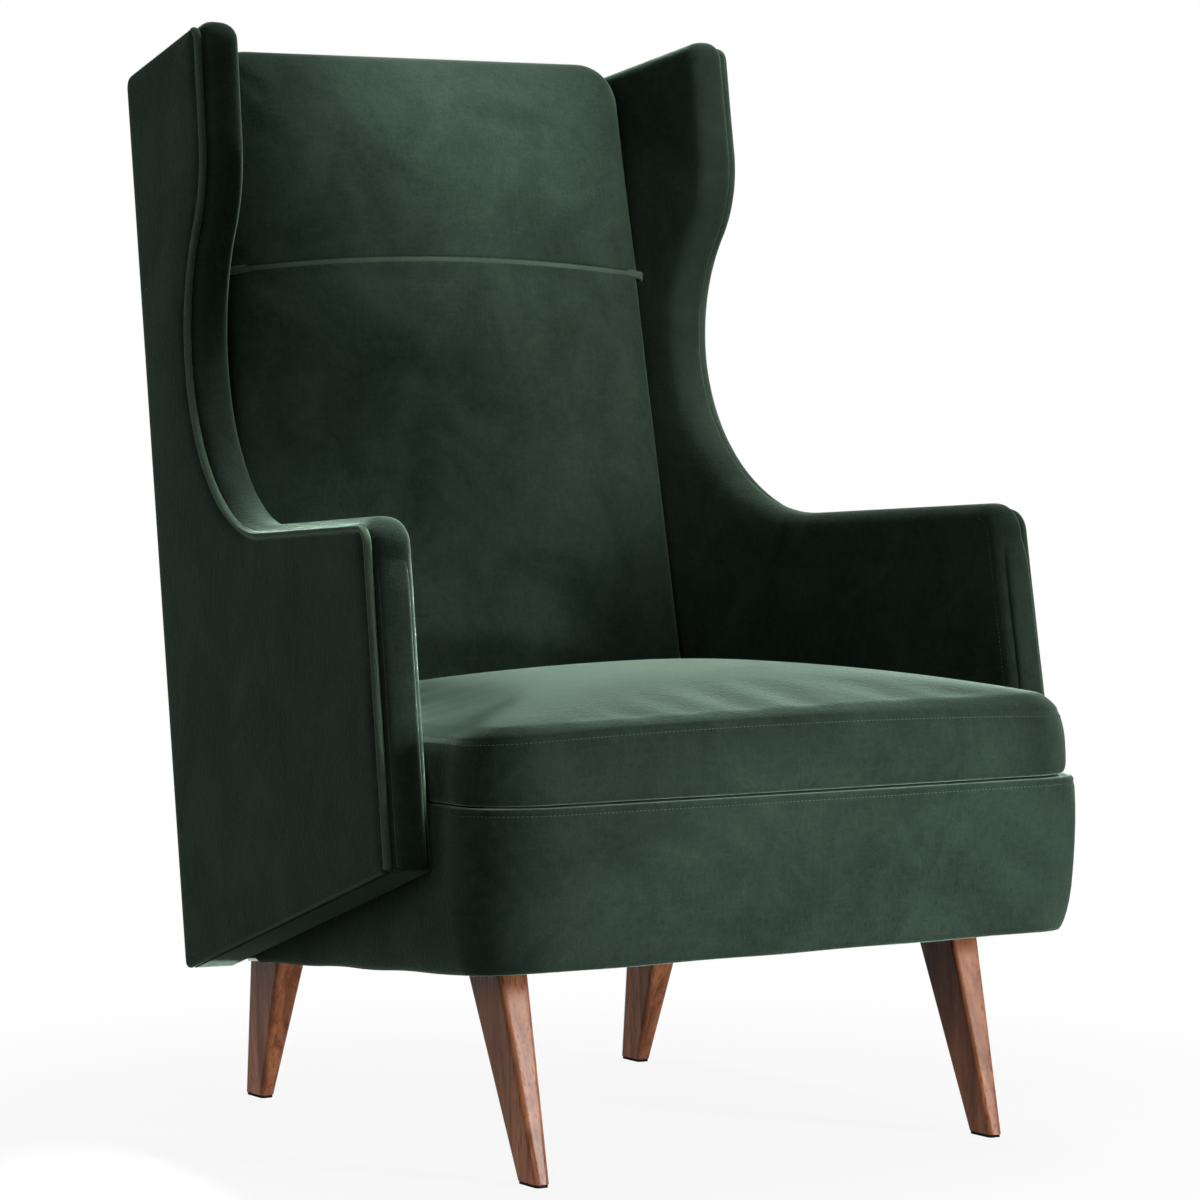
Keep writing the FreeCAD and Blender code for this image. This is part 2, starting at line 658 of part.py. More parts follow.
def build_seat():
    bolts = [side_bolt(u, z) for u, z in SIDE_BOLT_PLACES]
    holes = [side_bolt(u, z, HOLE_GAP) for u, z in SIDE_BOLT_PLACES]
    hanger_holes = [hanger_bolt(place, HOLE_GAP) for place in (FRONT_LEG, REAR_LEG)]
    screw_holes = [post_screw(v, HOLE_GAP) for v in POST_SCREW_HEIGHTS]
    every_hole = [copy for hole in holes + hanger_holes + screw_holes for copy in both_sides(hole)]
    right_rail, left_rail = side_rails()
    front_blocks = both_sides(corner_block(FRONT_RAIL_BACK, 1, 215.0, 235.0, 30.0))
    rear_blocks = both_sides(corner_block(REAR_BLOCK_CORNER, -1, 90.0, 90.0, 60.0))
    blocks = [cut_all(shape, every_hole) for shape in front_blocks + rear_blocks]
    return {
        "base_border": cut_all(base_border(), every_hole),
        "front_rail": frame_block().common(strip(-FAR, FRONT_RAIL_BACK)),
        "rear_rail": cut_all(frame_block().cut(ahead_of_rear_rail()), every_hole),
        "right_side_rail": cut_all(right_rail, every_hole),
        "left_side_rail": cut_all(left_rail, every_hole),
        "corner_blocks": Part.makeCompound(blocks),
        "side_bolts": Part.makeCompound([copy for bolt in bolts for copy in both_sides(bolt)]),
        "seat_webbing": seat_webbing(),
        "seat_deck": seat_deck(),
        "dust_cover": dust_cover(),
        "seat_cushion": seat_cushion(),
        "seat_cushion_core": seat_cushion_core(),
    }


def build_back():
    post = cut_all(back_post(), [post_screw(v, HOLE_GAP) for v in POST_SCREW_HEIGHTS])
    screws = [copy for v in POST_SCREW_HEIGHTS for copy in both_sides(post_screw(v))]
    return {
        "right_back_post": post,
        "left_back_post": mirrored(post),
        "back_top_rail": back_rail(BACK_FRAME_TOP - BACK_RAIL_HEIGHT),
        "back_lower_rail": back_rail(LOWER_RAIL_FOOT),
        "back_webbing": back_webbing(),
        "post_screws": Part.makeCompound(screws),
        "back_pad": back_pad(),
        "headrest_pad": headrest_pad(),
        "outside_back": outside_back(),
    }


def build_legs():
    nodes = {}
    plates = []
    bolts = []
    glides = []
    for row, place in (("front", FRONT_LEG), ("rear", REAR_LEG)):
        hole = hanger_bolt(place, HOLE_GAP)
        right = leg(place).cut(hole)
        nodes[row + "_right_leg"] = right
        nodes[row + "_left_leg"] = mirrored(right)
        plates += both_sides(leg_plate(place).cut(hole))
        bolts += both_sides(hanger_bolt(place))
        glides += both_sides(foot_glide(place))
    nodes["leg_plates"] = Part.makeCompound(plates)
    nodes["hanger_bolts"] = Part.makeCompound(bolts)
    nodes["foot_glides"] = Part.makeCompound(glides)
    return nodes


def main():
    nodes = {}
    for build in (build_sides, build_seat, build_back, build_legs):
        nodes.update(build())
    # The origin is on the floor, midway between the front of the seat box and the rear top of the sides
    front = nodes["base_border"].optimalBoundingBox(False, False).YMin
    rear = nodes["right_inside_panel"].optimalBoundingBox(False, False).YMax
    to_origin = Vector(0, -(front + rear) / 2, 0)
    os.makedirs("parts", exist_ok=True)
    for name, shape in nodes.items():
        shape.translate(to_origin)
        shape.exportStep("parts/" + name + ".step")
        litres = round(shape.Volume / 1e6, 3)
        print(name, "valid", shape.isValid(), "solids", len(shape.Solids), "litres", litres)
    print("moved to the origin by", round(to_origin.y, 2))


main()
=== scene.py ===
# %% [markdown]
# # A velvet wingback chair
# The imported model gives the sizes, the bodies and the names. Everything here is in metres and in the
# same frame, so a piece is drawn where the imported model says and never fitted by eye.

# %% Load the frame
import math

import bmesh
import bpy
import numpy as np
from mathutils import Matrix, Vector


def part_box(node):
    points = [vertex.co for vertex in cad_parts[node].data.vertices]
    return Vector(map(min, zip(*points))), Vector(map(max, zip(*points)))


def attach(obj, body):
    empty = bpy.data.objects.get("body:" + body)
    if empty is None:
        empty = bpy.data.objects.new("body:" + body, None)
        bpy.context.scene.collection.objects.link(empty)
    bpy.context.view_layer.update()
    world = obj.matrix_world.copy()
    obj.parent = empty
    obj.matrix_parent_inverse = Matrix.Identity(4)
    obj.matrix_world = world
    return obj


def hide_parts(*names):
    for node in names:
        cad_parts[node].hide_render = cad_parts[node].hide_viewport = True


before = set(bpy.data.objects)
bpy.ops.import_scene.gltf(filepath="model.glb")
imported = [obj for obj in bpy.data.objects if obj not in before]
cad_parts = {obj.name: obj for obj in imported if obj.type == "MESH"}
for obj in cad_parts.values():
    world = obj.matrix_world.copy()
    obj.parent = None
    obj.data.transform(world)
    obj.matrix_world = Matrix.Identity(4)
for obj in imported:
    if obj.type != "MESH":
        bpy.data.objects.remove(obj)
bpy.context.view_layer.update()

# %% [markdown]
# ## Driving sizes
# The chair is drawn from a few outlines. Each outline is a list of corners (a, b, rounding radius) in
# millimetres, the way a pattern maker notes a template, and the soft pieces are layers of it.

# %% Driving sizes
MM = 0.001
SMALLEST_RADIUS = 3.0
SIDE_FLARE = math.radians(7.6)
SIDE_OFFSET = 352.0
SIDE_THICKNESS = 52.0
SIDE_OUTLINE = [
    (-209.0, 140.0, 8.0),    # rear foot
    (350.0, 299.0, 10.0),    # foot of the arm front
    (297.0, 623.0, 24.0),    # top of the arm front
    (-373.0, 581.0, 201.0),  # sweep from the arm top up into the wing
    (-147.5, 953.0, 140.0),  # swell of the wing
    (-170.0, 1119.0, 14.0),  # wing tip
    (-387.0, 1076.0, 14.0),  # rear top
]
BASE_FRONT = 485.0
BASE_BOW = 6.0
BASE_CORNER_RADIUS = 75.0
BASE_BOTTOM = (212.0, 0.0974)   # height at the front and fall towards the rear
SEAT_PLANE = (364.5, 0.0359)
FRONT_FOOT_EDGE = 415.5         # reach of the front feet ahead of the line that the sides are drawn from
SHIFT_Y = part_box("front_right_leg")[0].y / MM + FRONT_FOOT_EDGE
REAR_FOOT_Y = -SIDE_OUTLINE[0][0] * math.cos(SIDE_FLARE)
REAR_TOP_Y = -SIDE_OUTLINE[6][0] * math.cos(SIDE_FLARE)
RECLINE = math.atan2(REAR_TOP_Y - REAR_FOOT_Y, SIDE_OUTLINE[6][1] - SIDE_OUTLINE[0][1])
print("origin shift", round(SHIFT_Y, 2), "mm, recline", round(math.degrees(RECLINE), 2), "degrees")

# %% [markdown]
# ## Frames of the chair
# A side panel, the seat and the back are each flat things that lean. It is easier to draw a cushion on a
# table and then put the table where it belongs, so each of these functions turns two lengths along a
# plane and a height above it into points of the chair.

# %% Frames of the chair
def metres(x, y, z):
    """Stacks millimetre arrays into points of the shared frame."""
    x, y, z = np.broadcast_arrays(x, y, z)
    return np.stack([x, y + SHIFT_Y, z], axis=-1) * MM


def side_frame(sign):
    """Right (+1) or left (-1) side: u forward along it, z up, depth inwards from its outer face."""
    def to_space(u, z, depth):
        x = SIDE_OFFSET + u * math.sin(SIDE_FLARE) - depth * math.cos(SIDE_FLARE)
        y = -u * math.cos(SIDE_FLARE) - depth * math.sin(SIDE_FLARE)
        return metres(sign * x, y, z)
    return to_space


def falling_plane(front_height, slope):
    """Plane that falls towards the rear from the front of the seat box, with heights square to it."""
    tilt = math.atan(slope)

    def to_space(x, y, height):
        along = y + BASE_FRONT
        return metres(x, along * math.cos(tilt) + height * math.sin(tilt) - BASE_FRONT,
                      front_height - along * math.sin(tilt) + height * math.cos(tilt))
    return to_space


seat_frame = falling_plane(*SEAT_PLANE)
bottom_frame = falling_plane(*BASE_BOTTOM)


def back_frame(x, v, w):
    """Reclined rear face: v up along it, w forward from it."""
    y = REAR_FOOT_Y + v * math.sin(RECLINE) - w * math.cos(RECLINE)
    z = SIDE_OUTLINE[0][1] + v * math.cos(RECLINE) + w * math.sin(RECLINE)
    return metres(x, y, z)


def inner_half_width(y):
    """Half the space between the inner faces of the sides."""
    return SIDE_OFFSET - SIDE_THICKNESS / math.cos(SIDE_FLARE) - y * math.tan(SIDE_FLARE)


print("space between the arms at the front", round(2 * inner_half_width(-BASE_FRONT)), "mm")

# %% [markdown]
# ## Rounded outlines
# An upholsterer's template has straight runs and rounded corners. Moving every side inwards by an inset
# gives the next layer of a roll: a convex corner's radius shrinks and a concave one's grows. All layers use
# the same stations, so that they can be joined point to point.

# %% Rounded outlines
SAME_INSET = 1e-9    # insets nearer than this count as one


def unit(vectors):
    """The same directions with length one."""
    return vectors / np.linalg.norm(vectors, axis=1, keepdims=True)


def outline_parts(corners, inset):
    """Arcs of an outline whose sides moved inwards by an inset, either one for all or one for each side.
    A moved corner solves p.n0 = c.n0 + i0 and p.n1 = c.n1 + i1 for its two side normals."""
    table = np.array(corners, float)
    points = table[:, :2]
    moves = np.broadcast_to(np.asarray(inset, float), len(points))
    leave = unit(np.roll(points, -1, 0) - points)
    arrive = np.roll(leave, 1, 0)
    normal_0 = np.stack([-arrive[:, 1], arrive[:, 0]], 1)
    normal_1 = np.stack([-leave[:, 1], leave[:, 0]], 1)
    dot = (arrive * leave).sum(1)
    turn = np.arctan2(arrive[:, 0] * leave[:, 1] - arrive[:, 1] * leave[:, 0], dot)
    i0, i1 = np.roll(moves, 1), moves
    same = np.abs(i0 - i1) < SAME_INSET
    bottom = np.where(same, 1.0, 1 - dot ** 2)
    alpha = np.where(same, i0 / (1 + dot), (i0 - dot * i1) / bottom)
    beta = np.where(same, i0 / (1 + dot), (i1 - dot * i0) / bottom)
    moved = points + normal_0 * alpha[:, None] + normal_1 * beta[:, None]
    radius = np.maximum(table[:, 2] - np.sign(turn) * np.maximum(i0, i1), SMALLEST_RADIUS)
    reach = radius * np.tan(np.abs(turn) / 2)
    start = moved - arrive * reach[:, None]
    end = moved + leave * reach[:, None]
    centre = start + normal_0 * (np.sign(turn) * radius)[:, None]
    first = np.arctan2(start[:, 1] - centre[:, 1], start[:, 0] - centre[:, 0])
    return start, end, centre, radius, first, turn


print("side outline", len(outline_parts(SIDE_OUTLINE, 0.0)[0]), "corners")

# %% Stations on an outline
TURN_WEIGHT = 14.0    # a turn of one radian gets as many stations as this many millimetres


def stations(corners, splits, counts):
    """Places on an outline, as (element, share along it), evenly spaced by length plus turning.
    Element 2k is the arc of corner k and 2k + 1 the line that leaves it. Each side between the middles
    of two split corners gets its own count."""
    start, end, _, radius, _, turn = outline_parts(corners, 0.0)
    arcs = np.abs(turn) * (radius + TURN_WEIGHT)
    lines = np.linalg.norm(np.roll(start, -1, 0) - end, axis=1)
    weights = np.stack([arcs, lines], 1).ravel()
    ends = np.concatenate([[0.0], np.cumsum(weights)])
    middles = [ends[2 * k] + weights[2 * k] / 2 for k in splits]
    places = []
    for here, there, count in zip(middles, middles[1:] + middles[:1], counts):
        span = (there - here) % ends[-1]
        places.append((here + span * np.arange(count) / count) % ends[-1])
    places = np.concatenate(places)
    element = np.clip(np.searchsorted(ends, places, side="right") - 1, 0, len(weights) - 1)
    return element, (places - ends[element]) / weights[element]


def outline_points(corners, places, inset):
    """Points (n, 2) of an inset outline at its stations: centre + r (cos, sin) on arcs, else a line."""
    start, end, centre, radius, first, turn = outline_parts(corners, inset)
    element, share = places
    k = element // 2
    angle = first[k] + turn[k] * share
    on_arc = centre[k] + radius[k][:, None] * np.stack([np.cos(angle), np.sin(angle)], 1)
    on_line = end[k] + (np.roll(start, -1, 0)[k] - end[k]) * share[:, None]
    return np.where((element % 2 == 0)[:, None], on_arc, on_line)


SIDE_SPLITS = (1, 2, 5, 6)
SIDE_COUNTS = (40, 170, 40, 170)
side_places = stations(SIDE_OUTLINE, SIDE_SPLITS, SIDE_COUNTS)
print("side outline", outline_points(SIDE_OUTLINE, side_places, 0.0).shape[0], "stations")

# %% [markdown]
# ## Pillows
# Every upholstered piece is a closed pillow: a stack of rings that rolls over the edge, and two faces that
# close it. A face is a patch spread between the four sides of the last ring, so its grid follows the piece.

# %% Pillows: end faces
PATCH_STEPS = 300
NO_STRETCH = 1e-12    # keeps the relaxed mean from dividing by nothing


def patch(loop, rows, columns):
    """Grid (rows + 1, columns + 1, 2) spread inside a loop of 2 (rows + columns) points.
    A Coons patch blends both pairs of opposite sides and takes away the blend of the corners. It is then
    relaxed: each point moves to a mean of its neighbours, weighted by the grid's own stretch, so that
    nothing folds over."""
    around = np.concatenate([loop, loop[:1]])
    low, right = around[:rows + 1], around[rows:rows + columns + 1]
    high, left = around[rows + columns:2 * rows + columns + 1][::-1], around[2 * rows + columns:][::-1]
    u = np.linspace(0, 1, rows + 1)[:, None, None]
    v = np.linspace(0, 1, columns + 1)[None, :, None]
    sides = (1 - v) * low[:, None] + v * high[:, None] + (1 - u) * left[None] + u * right[None]
    corners = ((1 - u) * (1 - v) * low[0] + u * (1 - v) * low[-1]
               + u * v * high[-1] + (1 - u) * v * high[0])
    grid = sides - corners
    for _ in range(PATCH_STEPS):
        along = (grid[2:, 1:-1] - grid[:-2, 1:-1]) / 2
        across = (grid[1:-1, 2:] - grid[1:-1, :-2]) / 2
        twist = (grid[2:, 2:] - grid[:-2, 2:] - grid[2:, :-2] + grid[:-2, :-2]) / 4
        a = (across ** 2).sum(-1, keepdims=True)
        b = (along * across).sum(-1, keepdims=True)
        c = (along ** 2).sum(-1, keepdims=True)
        mean = (a * (grid[2:, 1:-1] + grid[:-2, 1:-1]) + c * (grid[1:-1, 2:] + grid[1:-1, :-2])
                - 2 * b * twist)
        grid[1:-1, 1:-1] = mean / (2 * (a + c) + NO_STRETCH)
    return grid


def patch_index(first_of_ring, first_inside, rows, columns):
    """Vertex numbers of a patch whose border is the ring itself."""
    count = 2 * (rows + columns)
    index = np.empty((rows + 1, columns + 1), int)
    inside = np.arange((rows - 1) * (columns - 1)).reshape(rows - 1, columns - 1)
    index[1:-1, 1:-1] = first_inside + inside
    index[:, 0] = np.arange(rows + 1)
    index[-1, :] = rows + np.arange(columns + 1)
    index[:, -1] = rows + columns + np.arange(rows, -1, -1)
    index[0, :] = 2 * rows + columns + np.arange(columns, -1, -1)
    border = np.zeros(index.shape, bool)
    border[[0, -1], :] = True
    border[:, [0, -1]] = True
    return np.where(border, first_of_ring + index % count, index)


def quads(index):
    """Faces of a grid of vertex numbers."""
    return np.stack([index[:-1, :-1], index[1:, :-1], index[1:, 1:], index[:-1, 1:]], -1).reshape(-1, 4)


print("a patch of 4 x 6 has", patch_index(0, 20, 4, 6).size, "grid points")

# %% Pillows: closed surfaces
def ring_quads(rings):
    """Faces of a stack of closed rings of vertex numbers."""
    return quads(np.concatenate([rings, rings[:, :1]], 1))


def band(lines):
    """Closed band through lines of points (lines, n, 3), the last joined to the first, with end faces."""
    index = np.arange(lines[..., 0].size).reshape(lines.shape[:2])
    faces = list(quads(np.concatenate([index, index[:1]], 0)))
    return lines.reshape(-1, 3), faces + [index[:, 0], index[::-1, -1]]


def dome(rows, columns, power):
    """1 in the middle and 0 at the border: (1 - |2u - 1|^p)(1 - |2v - 1|^p)."""
    u = 1 - np.abs(np.linspace(-1, 1, rows + 1)) ** power
    v = 1 - np.abs(np.linspace(-1, 1, columns + 1)) ** power
    return u[:, None] * v[None, :]


def pillow(layers, places, counts, to_space, low_swell=0.0, high_swell=0.0, power=2.4):
    """Closed surface through layers (corners, height, inset), with swelling end faces."""
    rows, columns = counts[0], counts[1]
    around = 2 * (rows + columns)
    flat = [outline_points(corners, places, inset) for corners, _, inset in layers]
    heights = [height for _, height, _ in layers]
    rings = np.stack([to_space(ring[:, 0], ring[:, 1], h) for ring, h in zip(flat, heights)])
    points = [rings.reshape(-1, 3)]
    ring_index = np.arange(len(layers) * around).reshape(len(layers), around)
    faces = [ring_quads(ring_index)]
    first_inside = len(layers) * around
    for layer, swell in ((0, low_swell), (-1, high_swell)):
        grid = patch(flat[layer], rows, columns)
        height = heights[layer] + swell * dome(rows, columns, power)
        points.append(to_space(grid[..., 0], grid[..., 1], height)[1:-1, 1:-1].reshape(-1, 3))
        faces.append(quads(patch_index(ring_index[layer, 0], first_inside, rows, columns)))
        first_inside += (rows - 1) * (columns - 1)
    return np.concatenate(points), np.concatenate(faces)


def layers_of(outline, roll):
    """Layers of one outline from a roll of (height, inset)."""
    return [(outline, height, inset) for height, inset in roll]


WAVES = 7
WAVE_LENGTHS = (0.7, 1.5)    # shortest and longest wave, as shares of the wavelength that is asked for
WAVE_GAIN = 1.8              # brings the mean of the waves back to about -1 to 1


def soft_waves(points, wavelength, seed):
    """Smooth uneven value about -1 to 1: the mean of seeded sine waves in several directions."""
    chance = np.random.default_rng(seed)
    ways = unit(chance.normal(size=(WAVES, 3)))
    lengths = wavelength * chance.uniform(*WAVE_LENGTHS, WAVES)
    phases = chance.uniform(0, 2 * np.pi, WAVES)
    return np.sin(points @ (2 * np.pi * ways / lengths[:, None]).T + phases).mean(1) * WAVE_GAIN


print("soft waves, three values", soft_waves(np.eye(3), 1.0, 1).round(2).tolist())

# %% [markdown]
# ## Putting a piece into the chair
# One helper makes the mesh from its arrays, turns the faces outwards, and says what the piece stands for:
# its body and the imported nodes that it replaces.

# %% Putting a piece into the chair
SUBDIVISIONS = 1


def make_piece(name, points, faces, material, slot, nodes, body="chair"):
    """Mesh object with smooth outward faces that rides on a body and stands for the named nodes."""
    mesh = bpy.data.meshes.new(name)
    mesh.from_pydata(points.tolist(), [], [face.tolist() for face in faces])
    work = bmesh.new()
    work.from_mesh(mesh)
    bmesh.ops.recalc_face_normals(work, faces=work.faces)
    work.to_mesh(mesh)
    work.free()
    mesh.polygons.foreach_set("use_smooth", np.full(len(mesh.polygons), True))
    mesh.materials.append(material)
    piece = bpy.data.objects.new(name, mesh)
    bpy.context.scene.collection.objects.link(piece)
    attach(piece, body)
    if nodes:
        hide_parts(*nodes)
    print(name, len(mesh.vertices), "points")
    return piece


def refine(piece):
    """Live subdivision that rounds a grid off."""
    modifier = piece.modifiers.new("rounding", "SUBSURF")
    modifier.levels = SUBDIVISIONS
    modifier.render_levels = SUBDIVISIONS


# %% [markdown]
# ## Velvet
# Velvet is a short dense pile. Looked at along its surface the fibre tips catch light, so it is pale at
# grazing angles and dark face on: that is the sheen of the shader. The pile also lies over in patches where
# hands have brushed it, and shows faint lines of the ground weave both ways. All of this goes into a node
# group that the other cloths share.

# %% Velvet: node helpers
def new_group(name, inputs, outputs):
    """Shader group with its named sockets, and its entry and exit nodes."""
    group = bpy.data.node_groups.new(name, "ShaderNodeTree")
    for socket, kind, value in inputs:
        made = group.interface.new_socket(name=socket, in_out="INPUT", socket_type=kind)
        made.default_value = value
    for socket, kind in outputs:
        group.interface.new_socket(name=socket, in_out="OUTPUT", socket_type=kind)
    return group, group.nodes.new("NodeGroupInput"), group.nodes.new("NodeGroupOutput")


def add(tree, kind, links=(), **values):
    """Adds a node, sets its properties and input values, and links (source socket, input name) pairs."""
    node = tree.nodes.new(kind)
    for key, value in values.items():
        if hasattr(node, key):
            setattr(node, key, value)
        else:
            node.inputs[key].default_value = value
    for source, target in links:
        tree.links.new(source, node.inputs[target])
    return node


def maths(tree, operation, first, second):
    """Socket of a reckoning with two sockets."""
    return add(tree, "ShaderNodeMath", [(first, 0), (second, 1)], operation=operation).outputs[0]


def scaled(tree, value, factor):
    """Socket of a value times a fixed factor."""
    node = add(tree, "ShaderNodeMath", [(value, 0)], operation="MULTIPLY")
    node.inputs[1].default_value = factor
    return node.outputs[0]


def mixed(tree, share, first, second):
    """Socket of a colour between two colours."""
    links = [(share, "Factor"), (first, 6), (second, 7)]
    return add(tree, "ShaderNodeMix", links, data_type="RGBA").outputs[2]


def new_material(name):
    """Material with nodes, its tree and its shader."""
    material = bpy.data.materials.new(name)
    material.use_nodes = True
    shader = material.node_tree.nodes["Principled BSDF"]
    return material, material.node_tree, shader


def grouped_material(name, group, settings, strength, depth, constants):
    """Material with colour and bump (its strength, and its depth in metres) from a group with settings.
    The constants go on other sockets of the shader."""
    material, tree, shader = new_material(name)
    node = add(tree, "ShaderNodeGroup", node_tree=group, **settings)
    relief = add(tree, "ShaderNodeBump", [(node.outputs["Height"], "Height")],
                 Strength=strength, Distance=depth)
    tree.links.new(node.outputs["Color"], shader.inputs["Base Color"])
    tree.links.new(relief.outputs[0], shader.inputs["Normal"])
    for socket, value in constants.items():
        shader.inputs[socket].default_value = value
    return material


print("packed materials", len(bpy.data.materials))

# %% Velvet: the brushed cloth that the finishes share
FINE_SHARE = 0.34    # weight of the streaks and the weave beside the patches


def brushed_cloth_group():
    """Colour and height of a cloth: broad brushed patches, streaks up and across, and a fine weave."""
    group, entry, leave = new_group(
        "brushed cloth",
        [("Dark", "NodeSocketColor", (0.02, 0.04, 0.03, 1)),
         ("Light", "NodeSocketColor", (0.06, 0.1, 0.07, 1)),
         ("Patch Scale", "NodeSocketFloat", 6.0), ("Weave Scale", "NodeSocketFloat", 420.0)],
        [("Color", "NodeSocketColor"), ("Height", "NodeSocketFloat")])
    place = add(group, "ShaderNodeTexCoord").outputs["Object"]
    patches = add(group, "ShaderNodeTexNoise", [(place, "Vector"), (entry.outputs["Patch Scale"], "Scale")],
                  Detail=9.0, Roughness=0.66, Distortion=0.6)
    upright = add(group, "ShaderNodeMapping", [(place, "Vector")], Scale=(1.0, 1.0, 0.25))
    crosswise = add(group, "ShaderNodeMapping", [(place, "Vector")], Scale=(0.25, 0.25, 1.0))
    rows = [add(group, "ShaderNodeTexNoise", [(way.outputs[0], "Vector")], Scale=240.0, Detail=3.0)
            for way in (upright, crosswise)]
    streaks = maths(group, "MAXIMUM", rows[0].outputs[0], rows[1].outputs[0])
    weave = add(group, "ShaderNodeTexNoise", [(place, "Vector"), (entry.outputs["Weave Scale"], "Scale")],
                Detail=2.0, Roughness=0.7)
    fine = maths(group, "ADD", streaks, weave.outputs[0])
    amount = maths(group, "ADD", patches.outputs[0], scaled(group, fine, FINE_SHARE))
    share = add(group, "ShaderNodeMapRange", [(amount, "Value")], **{"From Min": 0.54, "From Max": 1.18})
    colour = mixed(group, share.outputs[0], entry.outputs["Dark"], entry.outputs["Light"])
    height = maths(group, "ADD", weave.outputs[0], streaks)
    group.links.new(colour, leave.inputs["Color"])
    group.links.new(height, leave.inputs["Height"])
    return group


brushed_cloth = brushed_cloth_group()
print("brushed cloth", len(brushed_cloth.nodes), "nodes")

# %% Velvet: cloth finishes
SHEEN_TINT = (0.56, 0.8, 0.63, 1)
PILE_STRENGTH = 0.7


def cloth_material(name, dark, light, sheen, patch_scale=6.0, weave_scale=420.0, bump=0.0007):
    """Cloth between two colours, with a sheen weight for its fibre tips and a bump depth in metres."""
    settings = {"Dark": (*dark, 1), "Light": (*light, 1),
                "Patch Scale": patch_scale, "Weave Scale": weave_scale}
    constants = {"Roughness": 0.95, "Specular IOR Level": 0.0, "Sheen Weight": sheen,
                 "Sheen Roughness": 0.32, "Sheen Tint": SHEEN_TINT}
    return grouped_material(name, brushed_cloth, settings, PILE_STRENGTH, bump, constants)


velvet = cloth_material("forest velvet", (0.014, 0.024, 0.018), (0.047, 0.074, 0.055), sheen=0.9,
                        patch_scale=10.0)
# The piping and the cross seam strip are the same velvet; their lighter colour is a painted highlight.
highlight_painted_velvet = cloth_material("velvet with painted highlight", (0.05, 0.078, 0.058), (0.11, 0.165, 0.12), sheen=1.0)
thread = cloth_material("sewing thread", (0.05, 0.08, 0.055), (0.11, 0.16, 0.115), sheen=0.3,
                        patch_scale=40.0)
deck_cloth = cloth_material("seat deck cloth", (0.015, 0.02, 0.017), (0.03, 0.038, 0.032), sheen=0.1,
                            patch_scale=12.0, weave_scale=900.0)
dust_cloth = cloth_material("dust cover cloth", (0.006, 0.006, 0.006), (0.016, 0.016, 0.016), sheen=0.05,
                            patch_scale=30.0, weave_scale=700.0)
strap_cloth = cloth_material("webbing", (0.12, 0.09, 0.05), (0.22, 0.17, 0.1), sheen=0.05,
                             patch_scale=30.0, weave_scale=500.0)
foam = cloth_material("foam", (0.62, 0.55, 0.36), (0.75, 0.68, 0.48), sheen=0.0,
                      patch_scale=60.0, weave_scale=1400.0, bump=0.001)
cloths = (velvet, highlight_painted_velvet, thread, deck_cloth, dust_cloth, strap_cloth, foam)
print("cloths", [cloth.name for cloth in cloths])

# %% [markdown]
# ## Inside panels of the sides
# Arm and wing are one padded slab with one outline. The inside panel covers the inner face and rolls over
# the front and top edges to the piping. It could be a box with bevelled edges, but the roll of real padding
# tightens towards the piping, so the layers are written as a profile (depth, inset) of that roll.

# %% Inside panels
SIDES = (("right", 1), ("left", -1))
PAD_FULLNESS = 7.0    # how far the padding stands proud of the outline at the front and top
PAD_TRIM = 20.0       # how much less its roll takes off at the bottom and rear
LEAST_INSET = 0.4     # what it takes off there at least


def inside_layer(depth, roll):
    """One ring of the roll: full at the arm, wing and top, and cut square at the bottom and rear."""
    trimmed = max(roll - PAD_TRIM, LEAST_INSET)
    full = roll - PAD_FULLNESS
    return SIDE_OUTLINE, depth, (trimmed, full, full, full, full, full, trimmed)


# Depth from the outer face and inset of each ring, from the piping over the edge to the inner face
INSIDE_ROLL = [(10.3, 40.0), (10.3, 16.0), (10.8, 10.0), (12.6, 6.2), (16.0, 2.6), (20.0, 0.7),
               (25.0, 0.0), (31.0, 0.1), (36.5, 0.8), (41.0, 2.2), (44.6, 4.2), (47.4, 6.8),
               (49.6, 10.2), (51.0, 14.6), (51.8, 21.0), (52.0, 32.0)]
inside_layers = [inside_layer(depth, roll) for depth, roll in INSIDE_ROLL]
for word, sign in SIDES:
    points, faces = pillow(inside_layers, side_places, SIDE_COUNTS, side_frame(sign))
    panel = make_piece(word + "_inside_cover", points, faces, velvet, "velvet", [word + "_inside_panel"])

# %% [markdown]
# ## Outside panels
# The outer cover is pulled flat over a thin pad. It is tucked behind the piping at the front and runs out
# to the edge at the bottom, top and rear, so those sides of its outline move in less.

# %% Outside panels
COVER_REACH = 7.0     # how much less the cover moves in at the bottom, top and rear
OUTSIDE_ROLL = [(8.2, 32.0), (8.2, 9.5), (7.6, 7.7), (5.4, 7.4), (3.2, 8.0), (1.5, 10.0), (0.5, 14.0),
                (0.1, 22.0)]


def outside_layer(depth, roll):
    """One ring of the cover: tucked in along the piping and reaching the edge elsewhere."""
    out = roll - COVER_REACH
    return SIDE_OUTLINE, depth, (out, roll, roll, roll, roll, out, out)


outside_layers = [outside_layer(depth, roll) for depth, roll in OUTSIDE_ROLL]
for word, sign in SIDES:
    points, faces = pillow(outside_layers, side_places, SIDE_COUNTS, side_frame(sign), high_swell=-1.2)
    panel = make_piece(word + "_outside_cover", points, faces, velvet, "velvet",
                       [word + "_outside_panel"])

# %% [markdown]
# ## Piping
# Piping is a cord wrapped in a bias strip. A tube is carried along the outline between the two covers, and
# its radius wanders a little, as hand-sewn piping does.

# %% Piping
TUBE_SIDES = 12


def spokes(first, second, sides):
    """Directions (n, sides, 3) round each point: first cos a + second sin a."""
    angle = 2 * np.pi * np.arange(sides) / sides
    return first[:, None] * np.cos(angle)[None, :, None] + second[:, None] * np.sin(angle)[None, :, None]


